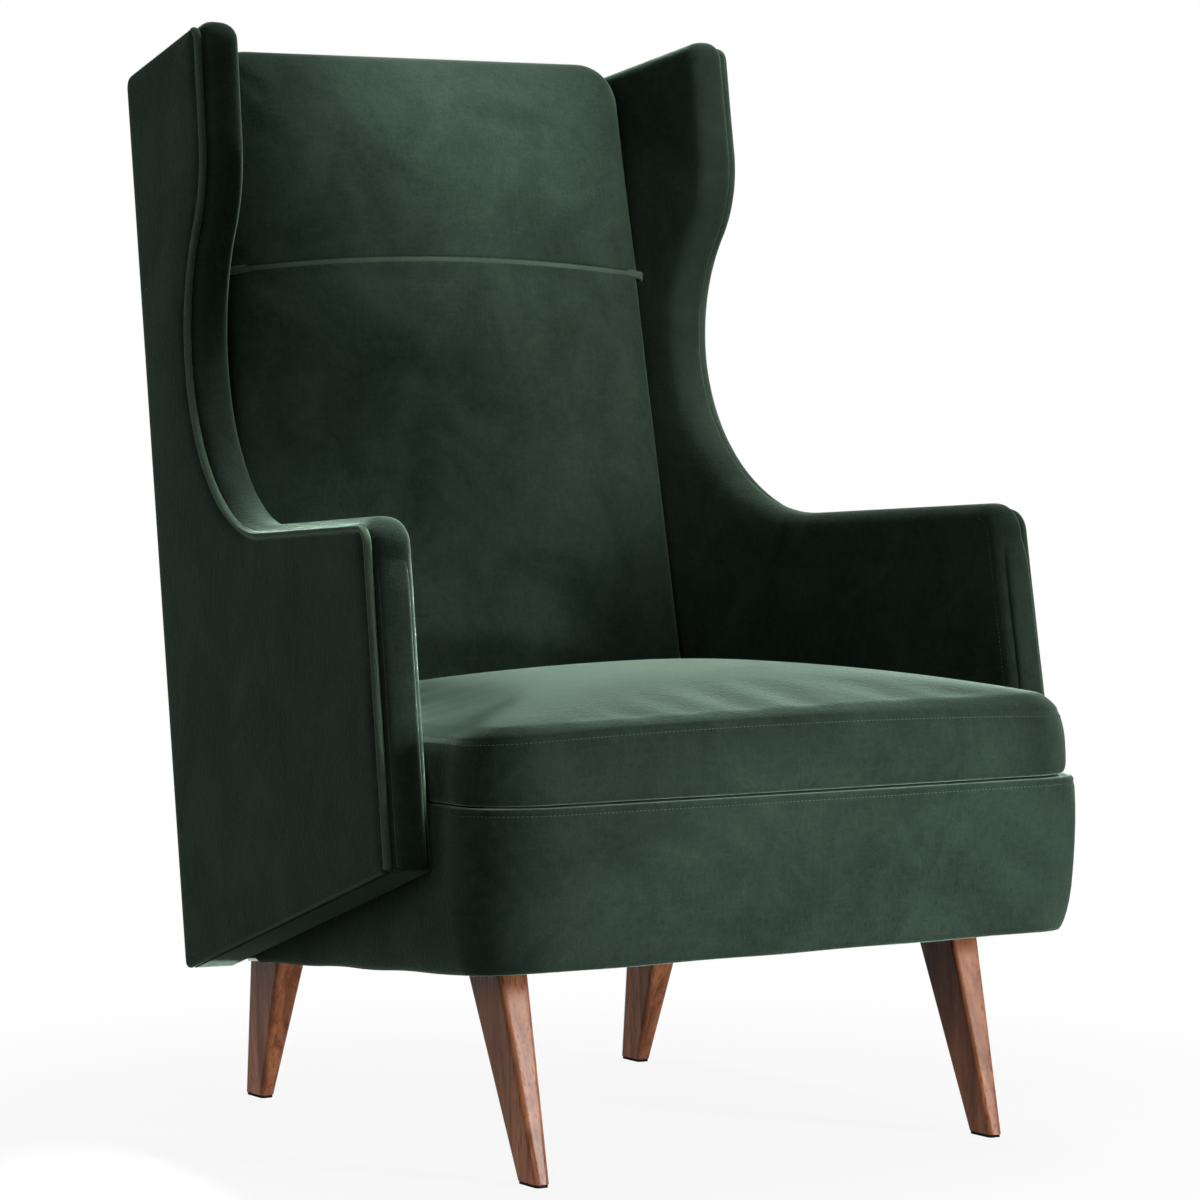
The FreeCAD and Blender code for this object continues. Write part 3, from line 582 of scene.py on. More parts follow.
def point_caps(rings, first_end):
    """Triangles from the first and the last ring of vertex numbers to the point that closes each."""
    tips = np.full(rings.shape[1], first_end)
    return np.concatenate([np.stack([rings[0], np.roll(rings[0], -1), tips], 1),
                           np.stack([np.roll(rings[-1], -1), rings[-1], tips + 1], 1)])


def tube(path, radius):
    """Tube through path points (n, 3): centre + r (cos t N + sin t B), closed by a point at each end."""
    ahead = unit(np.gradient(path, axis=0))
    plane = np.linalg.svd(path - path.mean(0), full_matrices=False)[2][2]
    across = unit(np.cross(ahead, plane))
    over = np.cross(across, ahead)
    skin = path[:, None] + spokes(across, over, TUBE_SIDES) * radius[:, None, None]
    rings = np.arange(len(path) * TUBE_SIDES).reshape(len(path), TUBE_SIDES)
    points = np.concatenate([skin.reshape(-1, 3), path[:1], path[-1:]])
    return points, list(ring_quads(rings)) + list(point_caps(rings, rings.size))


PIPING_RADIUS = 4.0
PIPING_DEPTH = 6.0
PIPING_INSET = 3.0
PIPING_COUNTS = (120, 520, 90, 170)
WANDER = 0.05         # how far the radius strays, as a share of it
WANDER_LENGTH = 0.06
WANDER_SEED = 3
TOP_EDGE = 11         # element of the outline after the wing tip, where the piping has ended
piping_places = stations(SIDE_OUTLINE, SIDE_SPLITS, PIPING_COUNTS)
piping_end = np.argmax(piping_places[0] == TOP_EDGE)
for word, sign in SIDES:
    line = outline_points(SIDE_OUTLINE, piping_places, PIPING_INSET)[:piping_end]
    path = side_frame(sign)(line[:, 0], line[:, 1], PIPING_DEPTH)
    wander = 1 + WANDER * soft_waves(path, WANDER_LENGTH, WANDER_SEED)
    points, faces = tube(path, PIPING_RADIUS * MM * wander)
    # The piping's lighter velvet is a painted highlight.
    make_piece(word + "_piping", points, faces, highlight_painted_velvet, "velvet", [word + "_welt"])

# %% [markdown]
# ## Stitches
# Topstitching shows as a row of short raised threads. Each stitch is a small capsule with few faces, and a
# whole row is worked out at once by repeating one set of rings along a path. The first rows run up the
# inner edge of the arms.

# %% Stitches
STITCH_PITCH = 4.4
STITCH_LENGTH = 3.3
STITCH_RADIUS = 0.45
STITCH_RINGS = ((-0.36, 0.7), (0.0, 1.0), (0.36, 0.7))    # place along it and width, as shares
STITCH_SIDES = 6


def stitch_row(path, outward):
    """Capsules every pitch along a path: rings at c + s t + r (cos a n + sin a b), and a point at each
    end of a stitch."""
    run = np.concatenate([[0.0], np.cumsum(np.linalg.norm(np.diff(path, axis=0), axis=1))])
    places = np.arange(STITCH_PITCH * MM, run[-1], STITCH_PITCH * MM)
    centre = np.stack([np.interp(places, run, path[:, axis]) for axis in range(3)], 1)
    ahead = unit(np.gradient(centre, axis=0))
    side = unit(np.cross(ahead, outward))
    round_it = spokes(np.cross(side, ahead), side, STITCH_SIDES)
    rings = [(centre + ahead * share * STITCH_LENGTH * MM)[:, None] + round_it * STITCH_RADIUS * MM * wide
             for share, wide in STITCH_RINGS]
    ends = [(centre + ahead * share * STITCH_LENGTH * MM)[:, None] for share in (-0.5, 0.5)]
    points = np.concatenate(rings + ends, axis=1)
    one = np.arange(len(STITCH_RINGS) * STITCH_SIDES).reshape(-1, STITCH_SIDES)
    shift = points.shape[1] * np.arange(len(centre))[:, None, None]
    bands = (ring_quads(one) + shift).reshape(-1, 4)
    caps = (point_caps(one, one.size) + shift).reshape(-1, 3)
    return points.reshape(-1, 3), list(bands) + list(caps)


EDGE_STITCH = (51.2, 15.4)    # depth and roll of the stitched line on the inside panel
ARM_TOP_LINE = 5              # element of the outline along the arm top
arm_end = np.argmax(piping_places[0] == ARM_TOP_LINE)
for word, sign in SIDES:
    line = outline_points(SIDE_OUTLINE, piping_places, inside_layer(*EDGE_STITCH)[2])[:arm_end]
    path = side_frame(sign)(line[:, 0], line[:, 1], EDGE_STITCH[0])
    inwards = np.array([-sign, 0.0, 0.0])
    make_piece(word + "_edge_stitches", *stitch_row(path, inwards), thread, "velvet", [])

# %% [markdown]
# ## Arm facings
# The arm front has its own strip of cloth, sewn to the piping on the outside and to the inside panel by a
# flat seam. It is a narrow pillow laid on the sloping arm front.

# %% Arm facings
FACING_FOOT = 303.0
FACING_TOP = 608.0
FACING_DEPTHS = (12.6, 42.6)
FACING_BEND = 556.0     # height from which the facing rolls back
BEND_LENGTH = 52.0
BEND_SINK = 10.0        # how far it has sunk at the end of that length
ARM_FOOT = SIDE_OUTLINE[1]
ARM_TOP = SIDE_OUTLINE[2]
FRONT_SLOPE = (ARM_FOOT[0] - ARM_TOP[0]) / (ARM_TOP[1] - ARM_FOOT[1])
FACING_OUTLINE = [(FACING_DEPTHS[0], FACING_FOOT, 4.0), (FACING_DEPTHS[1], FACING_FOOT, 5.0),
                  (FACING_DEPTHS[1], FACING_TOP, 12.0), (FACING_DEPTHS[0], FACING_TOP, 10.0)]


def facing_frame(sign):
    """Arm front: depth across it, z up, height forward from it, rolled back over its top."""
    def to_space(depth, z, height):
        over_top = np.clip((z - FACING_BEND) / BEND_LENGTH, 0, 1)
        front = ARM_FOOT[0] + PAD_FULLNESS - FRONT_SLOPE * (z - ARM_FOOT[1])
        u = front + height - BEND_SINK * over_top ** 2
        return side_frame(sign)(u, z, depth)
    return to_space


FOUR_CORNERS = (0, 1, 2, 3)
facing_counts = (12, 90, 12, 90)
facing_places = stations(FACING_OUTLINE, FOUR_CORNERS, facing_counts)
FACING_ROLL = [(-6.0, 4.0), (-6.0, 1.0), (-3.0, 0.0), (-1.0, 0.3), (0.8, 1.4), (2.2, 3.4), (3.2, 6.2),
               (3.7, 9.4)]
facing_layers = layers_of(FACING_OUTLINE, FACING_ROLL)
for word, sign in SIDES:
    points, faces = pillow(facing_layers, facing_places, facing_counts, facing_frame(sign), high_swell=0.8)
    facing = make_piece(word + "_arm_front", points, faces, velvet, "velvet", [word + "_arm_facing"])

# %% [markdown]
# ## Seat box
# The seat box is wrapped in one padded band: folded over at the top, where a row of stitching holds the
# fold, and pulled under at the bottom, where the edge wavers a little from tack to tack. It is one profile
# carried round the plan outline.

# %% Seat box: plan
BORDER_FRONT = 479.6
BORDER_REAR = 168.0
BORDER_GAP = 1.5        # space between the band and the sides
BOW_ROUNDING = 0.25     # share of each half of the bowed front that its rounding takes up


def seat_plan(front, rear, front_radius, rear_radius, gap):
    """Seat outline between the sides, seen from above, with a gently bowed front."""
    front_half = inner_half_width(-front + BASE_BOW) - gap
    rear_half = inner_half_width(rear) - gap
    return [(0.0, -front, BOW_ROUNDING * front_half ** 2 / BASE_BOW),
            (front_half, -front + BASE_BOW, front_radius),
            (rear_half, rear, rear_radius), (-rear_half, rear, rear_radius),
            (-front_half, -front + BASE_BOW, front_radius)]


def level(plane, y):
    """Height of a falling plane over y."""
    return plane[0] - plane[1] * (y + BASE_FRONT)


SEAT_SPLITS = (1, 2, 3, 4)
border_plan = seat_plan(BORDER_FRONT, BORDER_REAR, BASE_CORNER_RADIUS, SMALLEST_RADIUS, BORDER_GAP)
border_counts = (110, 20, 110, 150)
border_places = stations(border_plan, SEAT_SPLITS, border_counts)
print("seat box front", round(2 * border_plan[1][0]), "mm wide")

# %% Seat box: band and stitches
# Profile from under the bottom edge over the face to the top: share of the height, then offset and inset
BORDER_PROFILE = [(0.0, 0.8, 17.6), (0.0, 0.0, 15.8), (0.0, 0.8, 13.0), (0.0, 4.4, 10.4),
                  (0.0, 10.4, 7.8), (0.0, 18.0, 5.4), (0.0, 29.0, 2.9), (0.0, 43.0, 0.8),
                  (0.42, 0.0, -1.0), (0.56, 0.0, -2.2), (0.7, 0.0, -2.8), (0.82, 0.0, -2.6),
                  (1.0, -12.0, -1.8), (1.0, -8.4, -1.0), (1.0, -7.2, 0.2), (1.0, -6.2, -0.5),
                  (1.0, -4.6, -0.8), (1.0, -3.0, -0.4), (1.0, -1.4, 0.9), (1.0, -0.4, 3.6),
                  (1.0, -0.2, 7.0), (1.0, -1.0, 12.0), (1.0, -1.2, 17.4)]
BORDER_STITCH = (1.0, -7.2, -0.2)
UPWARDS = np.array([0.0, 0.0, 1.0])
WAVER = 1.1             # how far the bottom edge strays
WAVER_LENGTH = 0.16
WAVER_SEED = 5
WAVER_SHARE = 0.2       # share of the height under which it strays


def border_ring(share, offset, inset):
    """One line of the band from the left rear round the front to the right rear."""
    keep = np.r_[sum(border_counts[:2]):sum(border_counts), 0:border_counts[0] + 1]
    x, y = outline_points(border_plan, border_places, inset)[keep][1:].T
    low, high = level(BASE_BOTTOM, y), level(SEAT_PLANE, y)
    waves = soft_waves(np.stack([x, y, 0 * x], 1) * MM, WAVER_LENGTH, WAVER_SEED)
    waver = WAVER * waves * (1 - share) * (share < WAVER_SHARE)
    return metres(x, y, low + share * (high - low) + offset + waver)


border_rings = np.stack([border_ring(*row) for row in BORDER_PROFILE])
border = make_piece("seat_box_band", *band(border_rings), velvet, "velvet", ["base_border"])
border_line = border_ring(*BORDER_STITCH)
make_piece("seat_box_stitches", *stitch_row(border_line, UPWARDS), thread, "velvet", [])

# %% [markdown]
# ## Seat cushion
# A box-edged cushion: two faces joined by a strip called the boxing. Its form is lofted first, and then a
# cloth simulation blows it up a little between its seams, which are held, so that it gets the slack and the
# puckers of a real cover. The same helper puffs the back cushions.

# %% Seat cushion: stuffing by simulation
SIMULATION_STEPS = 20
STRETCH_STIFFNESS = 18.0
BENDING_STIFFNESS = 14.0
NO_TRAVEL = 1e-9      # keeps a point that stays still from dividing by nothing


def puff(piece, held, pressure, slack, most):
    """Cloth simulation with the held points pinned and some slack. A point's travel is
    most tanh(length / most), so that it nears most (metres) and never passes it."""
    scene = bpy.context.scene
    mesh = piece.data
    rest = np.empty(len(mesh.vertices) * 3)
    mesh.vertices.foreach_get("co", rest)
    seams = piece.vertex_groups.new(name="seams")
    seams.add(np.flatnonzero(held).tolist(), 1.0, "REPLACE")
    cloth = piece.modifiers.new("stuffing", "CLOTH")
    cloth.settings.use_pressure = True
    cloth.settings.uniform_pressure_force = pressure
    cloth.settings.effector_weights.gravity = 0.0
    cloth.settings.vertex_group_mass = "seams"
    cloth.settings.shrink_min = -slack
    cloth.settings.tension_stiffness = STRETCH_STIFFNESS
    cloth.settings.compression_stiffness = STRETCH_STIFFNESS
    cloth.settings.bending_stiffness = BENDING_STIFFNESS
    cloth.point_cache.frame_start = 1
    cloth.point_cache.frame_end = SIMULATION_STEPS
    for step in range(1, SIMULATION_STEPS + 1):
        scene.frame_set(step)
    solved = piece.evaluated_get(bpy.context.evaluated_depsgraph_get()).to_mesh()
    moved = np.empty_like(rest)
    solved.vertices.foreach_get("co", moved)
    piece.modifiers.remove(cloth)
    piece.vertex_groups.remove(seams)
    scene.frame_set(1)
    travel = (moved - rest).reshape(-1, 3)
    length = np.linalg.norm(travel, axis=1, keepdims=True)
    travel *= most * np.tanh(length / most) / np.maximum(length, NO_TRAVEL)
    mesh.vertices.foreach_set("co", (rest.reshape(-1, 3) + travel).ravel())
    mesh.update()
    print(piece.name, "moved up to", round(float(length.max()) / MM, 1), "mm")


def held_rings(layer_count, counts, seams):
    """Mask of the points that a simulation holds: whole rings and the face that lies on something."""
    around = 2 * (counts[0] + counts[1])
    face = (counts[0] - 1) * (counts[1] - 1)
    held = np.zeros(layer_count * around + 2 * face, bool)
    for seam in seams:
        held[seam * around:(seam + 1) * around] = True
    held[layer_count * around:layer_count * around + face] = True
    return held


print("simulation", "runs for the cushions")

# %% Seat cushion: form
CUSHION_FRONT = 468.0
CUSHION_REAR = 118.0
CUSHION_FRONT_RADIUS = 68.0
CUSHION_REAR_RADIUS = 26.0
CUSHION_GAP = 2.5
cushion_plan = seat_plan(CUSHION_FRONT, CUSHION_REAR, CUSHION_FRONT_RADIUS, CUSHION_REAR_RADIUS,
                         CUSHION_GAP)
cushion_counts = (80, 84, 80, 84)
cushion_places = stations(cushion_plan, SEAT_SPLITS, cushion_counts)
# Boxing and seams as (height above the seat plane, inset); the seams are drawn in
CUSHION_ROLL = [(0.6, 40.0), (0.6, 18.0), (0.8, 8.0), (2.4, 3.2), (5.4, 2.6), (8.0, 1.4), (17.0, 1.0),
                (27.0, 1.4), (37.0, 1.7), (46.0, 3.0), (53.0, 4.8), (57.5, 6.2), (60.4, 7.4), (62.0, 8.8),
                (63.4, 8.4), (66.5, 10.0), (72.0, 15.5), (79.0, 25.0)]
CUSHION_SEAMS = (0, 1, 2, 3, 11, 12, 13, 14)    # rings that the simulation holds
CUSHION_STITCH = (57.2, 5.9)                    # height and inset of the stitched line
CROWN_TILT = 16.0     # how much higher the crown stands at the rear than at the front
CROWN_LEAN = 23.0     # how much higher it stands at the right than at the left
CROWN_HEIGHT = 45.0   # height above the top seam at which the crown has its whole tip
SEAM_RISE = 9.0       # how much higher the top seam stands in its middle than at the corners
TOP_SEAM = 62.0       # height of the top seam above the seat plane


def cushion_frame(x, y, height):
    """Seat frame with the crown above the top seam tipped up towards the rear and the right, as it is sat
    in, and the boxing drawn up in its middle by a parabola that fades above and below the top seam."""
    rearward = (y + CUSHION_FRONT) / (CUSHION_FRONT + CUSHION_REAR) - 0.5
    rightward = x / (2 * inner_half_width(y))
    crown = np.clip((height - TOP_SEAM) / CROWN_HEIGHT, 0, 1)
    near = np.clip(1 - np.abs(height - TOP_SEAM) / TOP_SEAM, 0, 1)
    rise = SEAM_RISE * (1 - 4 * rightward ** 2) * near
    return seat_frame(x, y, height + (CROWN_TILT * rearward + CROWN_LEAN * rightward) * crown + rise)


points, faces = pillow(layers_of(cushion_plan, CUSHION_ROLL), cushion_places, cushion_counts,
                       cushion_frame, high_swell=25.0, power=2.5)
cushion = make_piece("seat_cushion_cover", points, faces, velvet, "velvet", ["seat_cushion"],
                     body="loose_cushion")

# %% Seat cushion: stuffing and stitches
held = held_rings(len(CUSHION_ROLL), cushion_counts, CUSHION_SEAMS)
puff(cushion, held, pressure=1.0, slack=0.001, most=0.008)
refine(cushion)
row = outline_points(cushion_plan, cushion_places, CUSHION_STITCH[1])
row = cushion_frame(row[:, 0], row[:, 1], CUSHION_STITCH[0])
make_piece("seat_cushion_stitches", *stitch_row(row, UPWARDS), thread, "velvet", [], body="loose_cushion")

# %% [markdown]
# ## Back cushions
# The back is two pads with a cross seam: the lower one supports the back and the upper one, a little
# prouder, the head. Both meet at the seam with hardly any roll, because there the cover runs on, so that
# side of their outlines moves in less than the others. The seam falls a little towards its ends.

# %% Back cushions: outlines and the falling seam
BACK_TOP = 962.0
BACK_SEAM = 736.0
BACK_PAD_FOOT = 200.0
BACK_PAD_START = 40.6
BACK_HOOK = 26.7     # thickness of the headrest where it lies over the top of the back frame
BACK_FRAME_TOP = BACK_TOP - BACK_HOOK
BACK_GAP = 0.3       # space between the pads and the sides


def back_half_width(v, w):
    """Half the space between the sides at a height up the back and a distance forward from it."""
    y = REAR_FOOT_Y + v * math.sin(RECLINE) - w * math.cos(RECLINE)
    return inner_half_width(y) - BACK_GAP


def back_plan(foot, top, w, foot_radius, top_radius):
    """Outline across the back between two heights, as wide as the sides leave it."""
    low, high = back_half_width(foot, w), back_half_width(top, w)
    return [(-low, foot, foot_radius), (low, foot, foot_radius),
            (high, top, top_radius), (-high, top, top_radius)]


SEAM_SHARE = 0.05    # share of the roll that the pads have along the cross seam


def pad_insets(inset, seam_side):
    """The same inset on three sides, and a small share of it at the cross seam."""
    return [inset * (SEAM_SHARE if side == seam_side else 1.0) for side in range(4)]


SEAM_DROP = 16.0     # how much lower the cross seam lies at its ends than in its middle
DROP_REACH = 200.0   # height over which the pads follow that drop


def seam_height(x):
    """Height of the cross seam up the back: a parabola that falls towards both ends."""
    return BACK_SEAM - SEAM_DROP * (x / back_half_width(BACK_SEAM, BACK_PAD_START)) ** 2


def pad_frame(x, v, w):
    """Frame of the back, drawn down near the cross seam as the seam falls."""
    follow = np.clip(1 - np.abs(v - BACK_SEAM) / DROP_REACH, 0, 1)
    return back_frame(x, v + (seam_height(x) - BACK_SEAM) * follow, w)


print("back is", round(2 * back_half_width(BACK_SEAM, BACK_PAD_START)), "mm wide at the cross seam")

# %% Back cushions: back and headrest
SEAM_GAP = 0.6       # half the space between the two pads
back_counts = (84, 84, 84, 84)
back_outline = back_plan(BACK_PAD_FOOT, BACK_SEAM - SEAM_GAP, BACK_PAD_START,
                         foot_radius=16.0, top_radius=10.0)
# Distance forward from the rear face and inset of each ring
BACK_ROLL = [(40.6, 40.0), (40.6, 12.0), (40.6, 1.0), (55.0, 0.3), (72.0, 0.0), (88.0, 0.2), (97.0, 1.2),
             (103.5, 3.4), (108.0, 7.0), (111.3, 12.4), (113.6, 20.0), (115.2, 30.0)]
back_places = stations(back_outline, FOUR_CORNERS, back_counts)
back_points, back_faces = pillow(
    [(back_outline, w, pad_insets(inset, 2)) for w, inset in BACK_ROLL],
    back_places, back_counts, pad_frame, high_swell=5.0, power=2.2)
back = make_piece("back_cushion", back_points, back_faces, velvet, "velvet", ["back_pad"])

head_counts = (84, 40, 84, 40)
head_outline = back_plan(BACK_SEAM + SEAM_GAP, BACK_TOP, BACK_PAD_START,
                         foot_radius=10.0, top_radius=48.0)
head_hook = back_plan(BACK_FRAME_TOP, BACK_TOP, BACK_PAD_START, foot_radius=4.0, top_radius=24.0)
HEAD_ROLL = [(head_hook, 8.6, 9.0), (head_hook, 8.8, 4.0), (head_hook, 12.0, 1.2), (head_hook, 20.0, 0.3),
             (head_hook, 39.8, 0.0), (head_outline, 41.0, 0.0), (head_outline, 66.0, 0.0),
             (head_outline, 90.0, 0.2), (head_outline, 99.0, 1.2), (head_outline, 105.5, 3.4),
             (head_outline, 110.4, 7.0), (head_outline, 114.2, 12.6), (head_outline, 117.0, 20.0),
             (head_outline, 119.0, 29.0)]
head_places = stations(head_outline, FOUR_CORNERS, head_counts)
head_points, head_faces = pillow(
    [(outline, w, pad_insets(inset, 0)) for outline, w, inset in HEAD_ROLL],
    head_places, head_counts, pad_frame, high_swell=4.0, power=2.2)
head = make_piece("headrest_cushion", head_points, head_faces, velvet, "velvet", ["headrest_pad"])

# %% Back cushions: stuffing
HELD_AT_SEAM = 14.0    # half the width that the simulation holds along the cross seam
HELD_BACK_RINGS = 7    # rings that it holds, counted from the frame
HELD_HEAD_RINGS = 9


def near_seam(points):
    """Points within the held width of the cross seam, measured up along the back."""
    y = points[:, 1] / MM - SHIFT_Y - REAR_FOOT_Y
    z = points[:, 2] / MM - SIDE_OUTLINE[0][1]
    up = y * math.sin(RECLINE) + z * math.cos(RECLINE)
    return np.abs(up - seam_height(points[:, 0] / MM)) < HELD_AT_SEAM


back_held = held_rings(len(BACK_ROLL), back_counts, range(HELD_BACK_RINGS))
head_held = held_rings(len(HEAD_ROLL), head_counts, range(HELD_HEAD_RINGS))
puff(back, back_held | near_seam(back_points), pressure=2.0, slack=0.001, most=0.008)
puff(head, head_held | near_seam(head_points), pressure=2.0, slack=0.001, most=0.007)
for pad in (back, head):
    refine(pad)

# %% Back cushions: strip over the cross seam
# Section of the flat strip from its lower to its upper edge: up the back from the seam, and forward
STRIP_SECTION = [(-4.0, -3.0), (-3.9, -0.9), (-2.4, 0.3), (0.0, 0.9), (2.4, 1.7), (3.9, 1.6), (4.0, -1.5)]
SEAM_STITCH = (2.0, 1.6)    # the same two lengths for the stitched line
SEAM_TUCK = 0.4             # how far the strip's ends stay inside the pads
SEAM_POINTS = 60
FIRST_SEAM_RING = 5         # first ring of the back's roll that the strip follows


def seam_line(up, forward):
    """Line along the cross seam that follows the roll of the pads at both ends."""
    w, inset = np.array(BACK_ROLL[FIRST_SEAM_RING:]).T
    x = np.array([back_half_width(BACK_SEAM, depth) for depth in w]) - inset - SEAM_TUCK
    flat = np.linspace(-x[-1], x[-1], SEAM_POINTS)[1:-1]
    across = np.concatenate([-x, flat, x[::-1]])
    depth = np.concatenate([w, np.full(len(flat), w[-1]), w[::-1]]) + forward
    return pad_frame(across, BACK_SEAM + up, depth)


strip_lines = np.stack([seam_line(up, forward) for up, forward in STRIP_SECTION])
# The strip's lighter velvet is a painted highlight.
make_piece("cross_seam_strip", *band(strip_lines), highlight_painted_velvet, "velvet", [])
make_piece("cross_seam_stitches", *stitch_row(seam_line(*SEAM_STITCH), UPWARDS), thread, "velvet", [])

# %% [markdown]
# ## Outside back
# The rear is closed by one flat panel between the two sides, tacked at its edges.

# %% Outside back
REAR_FOOT = 6.0
rear_outline = back_plan(REAR_FOOT, BACK_TOP, 0.0, foot_radius=8.0, top_radius=20.0)
rear_counts = (40, 80, 40, 80)
rear_places = stations(rear_outline, FOUR_CORNERS, rear_counts)
REAR_ROLL = [(8.0, 30.0), (8.0, 1.0), (7.4, 0.4), (5.0, 0.2), (2.6, 0.7), (1.0, 2.6), (0.3, 7.0)]
points, faces = pillow(layers_of(rear_outline, REAR_ROLL), rear_places, rear_counts, back_frame,
                       high_swell=-0.6)
rear = make_piece("outside_back_cover", points, faces, velvet, "velvet", ["outside_back"])

# %% [markdown]
# ## Under the cushion
# Hidden parts count too: straps carry the seat and the back, a cloth deck lies on the seat straps, a foam
# block fills the cushion and a black cloth closes the underside. A strap is a flattened oval carried along
# its run, the deck and the foam are pillows, and the black cloth is a single sheet with a little sag.

# %% Under the cushion: straps
STRAP_WIDTH = 50.0
STRAP_HALF_THICKNESS = 0.95
STRAP_STEPS = 25
STRAP_SIDES = 12
OVAL_POWER = 0.4        # below 1 squares the oval off


def straps(to_space, runs, height, lengthwise):
    """Flat bands: an oval profile carried along each run (centre, from, to)."""
    steps = np.linspace(0, 1, STRAP_STEPS)
    angle = 2 * np.pi * np.arange(STRAP_SIDES) / STRAP_SIDES
    profile_a = STRAP_WIDTH / 2 * np.sign(np.cos(angle)) * np.abs(np.cos(angle)) ** OVAL_POWER
    profile_h = STRAP_HALF_THICKNESS * np.sign(np.sin(angle)) * np.abs(np.sin(angle)) ** OVAL_POWER
    points, faces = [], []
    for number, (centre, start, stop) in enumerate(runs):
        along = (start + (stop - start) * steps)[:, None] + 0 * angle
        across = centre + profile_a + 0 * along
        rise = height + profile_h + 0 * along
        ring = to_space(across, along, rise) if lengthwise else to_space(along, across, rise)
        index = np.arange(STRAP_STEPS * STRAP_SIDES).reshape(-1, STRAP_SIDES)
        index += number * STRAP_STEPS * STRAP_SIDES
        points.append(ring.reshape(-1, 3))
        faces += list(ring_quads(index)) + [index[0], index[-1][::-1]]
    return np.concatenate(points), faces


def joined(first, second):
    """Two meshes in one."""
    return np.concatenate([first[0], second[0]]), first[1] + [face + len(first[0]) for face in second[1]]


SEAT_STRAP_ENDS = (-455.0, 190.0)
SEAT_STRAP_MARGIN = 24.0
SEAT_STRAP_HEIGHTS = (-13.0, -11.0)    # lengthwise straps below, crosswise straps woven over them
BACK_STRAP_ENDS = (224.0, 925.0)
BACK_STRAP_MARGIN = 6.0
BACK_STRAP_HEIGHTS = (37.3, 39.3)
BACK_STRAP_FACE = 36.3                 # face of the back frame that the straps lie on
long_runs = [(x, *SEAT_STRAP_ENDS) for x in (-168.0, -56.0, 56.0, 168.0)]
cross_runs = [(y, -inner_half_width(y) + SEAT_STRAP_MARGIN, inner_half_width(y) - SEAT_STRAP_MARGIN)
              for y in (-355.0, -247.0, -139.0, -31.0, 77.0)]
make_piece("seat_straps", *joined(straps(seat_frame, long_runs, SEAT_STRAP_HEIGHTS[0], True),
                                  straps(seat_frame, cross_runs, SEAT_STRAP_HEIGHTS[1], False)),
           strap_cloth, "webbing", ["seat_webbing"])
up_runs = [(x, *BACK_STRAP_ENDS) for x in (-110.0, 0.0, 110.0)]
over_runs = [(v, BACK_STRAP_MARGIN - back_half_width(v, BACK_STRAP_FACE),
              back_half_width(v, BACK_STRAP_FACE) - BACK_STRAP_MARGIN)
             for v in (330.0, 450.0, 570.0, 690.0, 810.0)]
make_piece("back_straps", *joined(straps(back_frame, up_runs, BACK_STRAP_HEIGHTS[0], True),
                                  straps(back_frame, over_runs, BACK_STRAP_HEIGHTS[1], False)),
           strap_cloth, "webbing", ["back_webbing"])

# %% Under the cushion: deck and foam
DECK_MARGIN = 18.3
DECK_REAR = 165.0
DECK_FRONT_RADIUS = BASE_CORNER_RADIUS - 18.0
HIDDEN_RADIUS = 12.0    # rear corners of the deck and of the cover under the seat
deck_plan = seat_plan(BASE_FRONT - DECK_MARGIN, DECK_REAR, DECK_FRONT_RADIUS, HIDDEN_RADIUS, DECK_MARGIN)
deck_counts = (40, 40, 40, 40)
deck_places = stations(deck_plan, SEAT_SPLITS, deck_counts)
DECK_ROLL = [(-9.8, 20.0), (-9.8, 2.0), (-7.0, 0.2), (-4.0, 0.4), (-1.6, 3.0), (-0.8, 9.0)]
points, faces = pillow(layers_of(deck_plan, DECK_ROLL), deck_places, deck_counts, seat_frame)
deck = make_piece("seat_deck_cover", points, faces, deck_cloth, "deck_cloth", ["seat_deck"])

CORE_ROLL = [(12.2, 60.0), (12.2, 29.0), (13.4, 26.6), (16.0, 26.2), (62.0, 26.2), (64.6, 26.6),
             (65.8, 29.0), (65.8, 60.0)]
points, faces = pillow(layers_of(cushion_plan, CORE_ROLL), cushion_places, cushion_counts, seat_frame)
core = make_piece("cushion_foam", points, faces, foam, "foam", ["seat_cushion_core"], body="loose_cushion")

# %% Under the cushion: dust cover
COVER_MARGIN = 23.0
COVER_REAR = 186.0
COVER_SAG = 1.2
COVER_HEIGHT = 2.3      # above the plane of the bottom edge
COVER_THICKNESS = 0.0006
cover_plan = seat_plan(BASE_FRONT - COVER_MARGIN, COVER_REAR, BASE_CORNER_RADIUS - COVER_MARGIN,
                       HIDDEN_RADIUS, COVER_MARGIN)
cover_places = stations(cover_plan, SEAT_SPLITS, deck_counts)
cover_grid = patch(outline_points(cover_plan, cover_places, 0.0), deck_counts[0], deck_counts[1])
sag = -COVER_SAG * dome(deck_counts[0], deck_counts[1], 2.0)
cover_points = bottom_frame(cover_grid[..., 0], cover_grid[..., 1], COVER_HEIGHT + sag)
cover_index = np.arange(cover_points[..., 0].size).reshape(cover_points.shape[:2])
dust = make_piece("dust_cover_cloth", cover_points.reshape(-1, 3), quads(cover_index), dust_cloth,
                  "dust_cloth", ["dust_cover"])
thickness = dust.modifiers.new("cloth thickness", "SOLIDIFY")
thickness.thickness = COVER_THICKNESS

# %% [markdown]
# ## Wood, steel and small parts
# The legs are stained like walnut: long grain, darker pores and a smooth satin surface. The frame inside is
# plain softwood and plywood. Grain is a stretched, distorted noise with a finer one for the pores. It is a
# node group, because all woods share it with other colours and scales.

# %% Wood: the grain that the woods share
PORE_FINENESS = 9.0    # how much finer the pores are than the grain


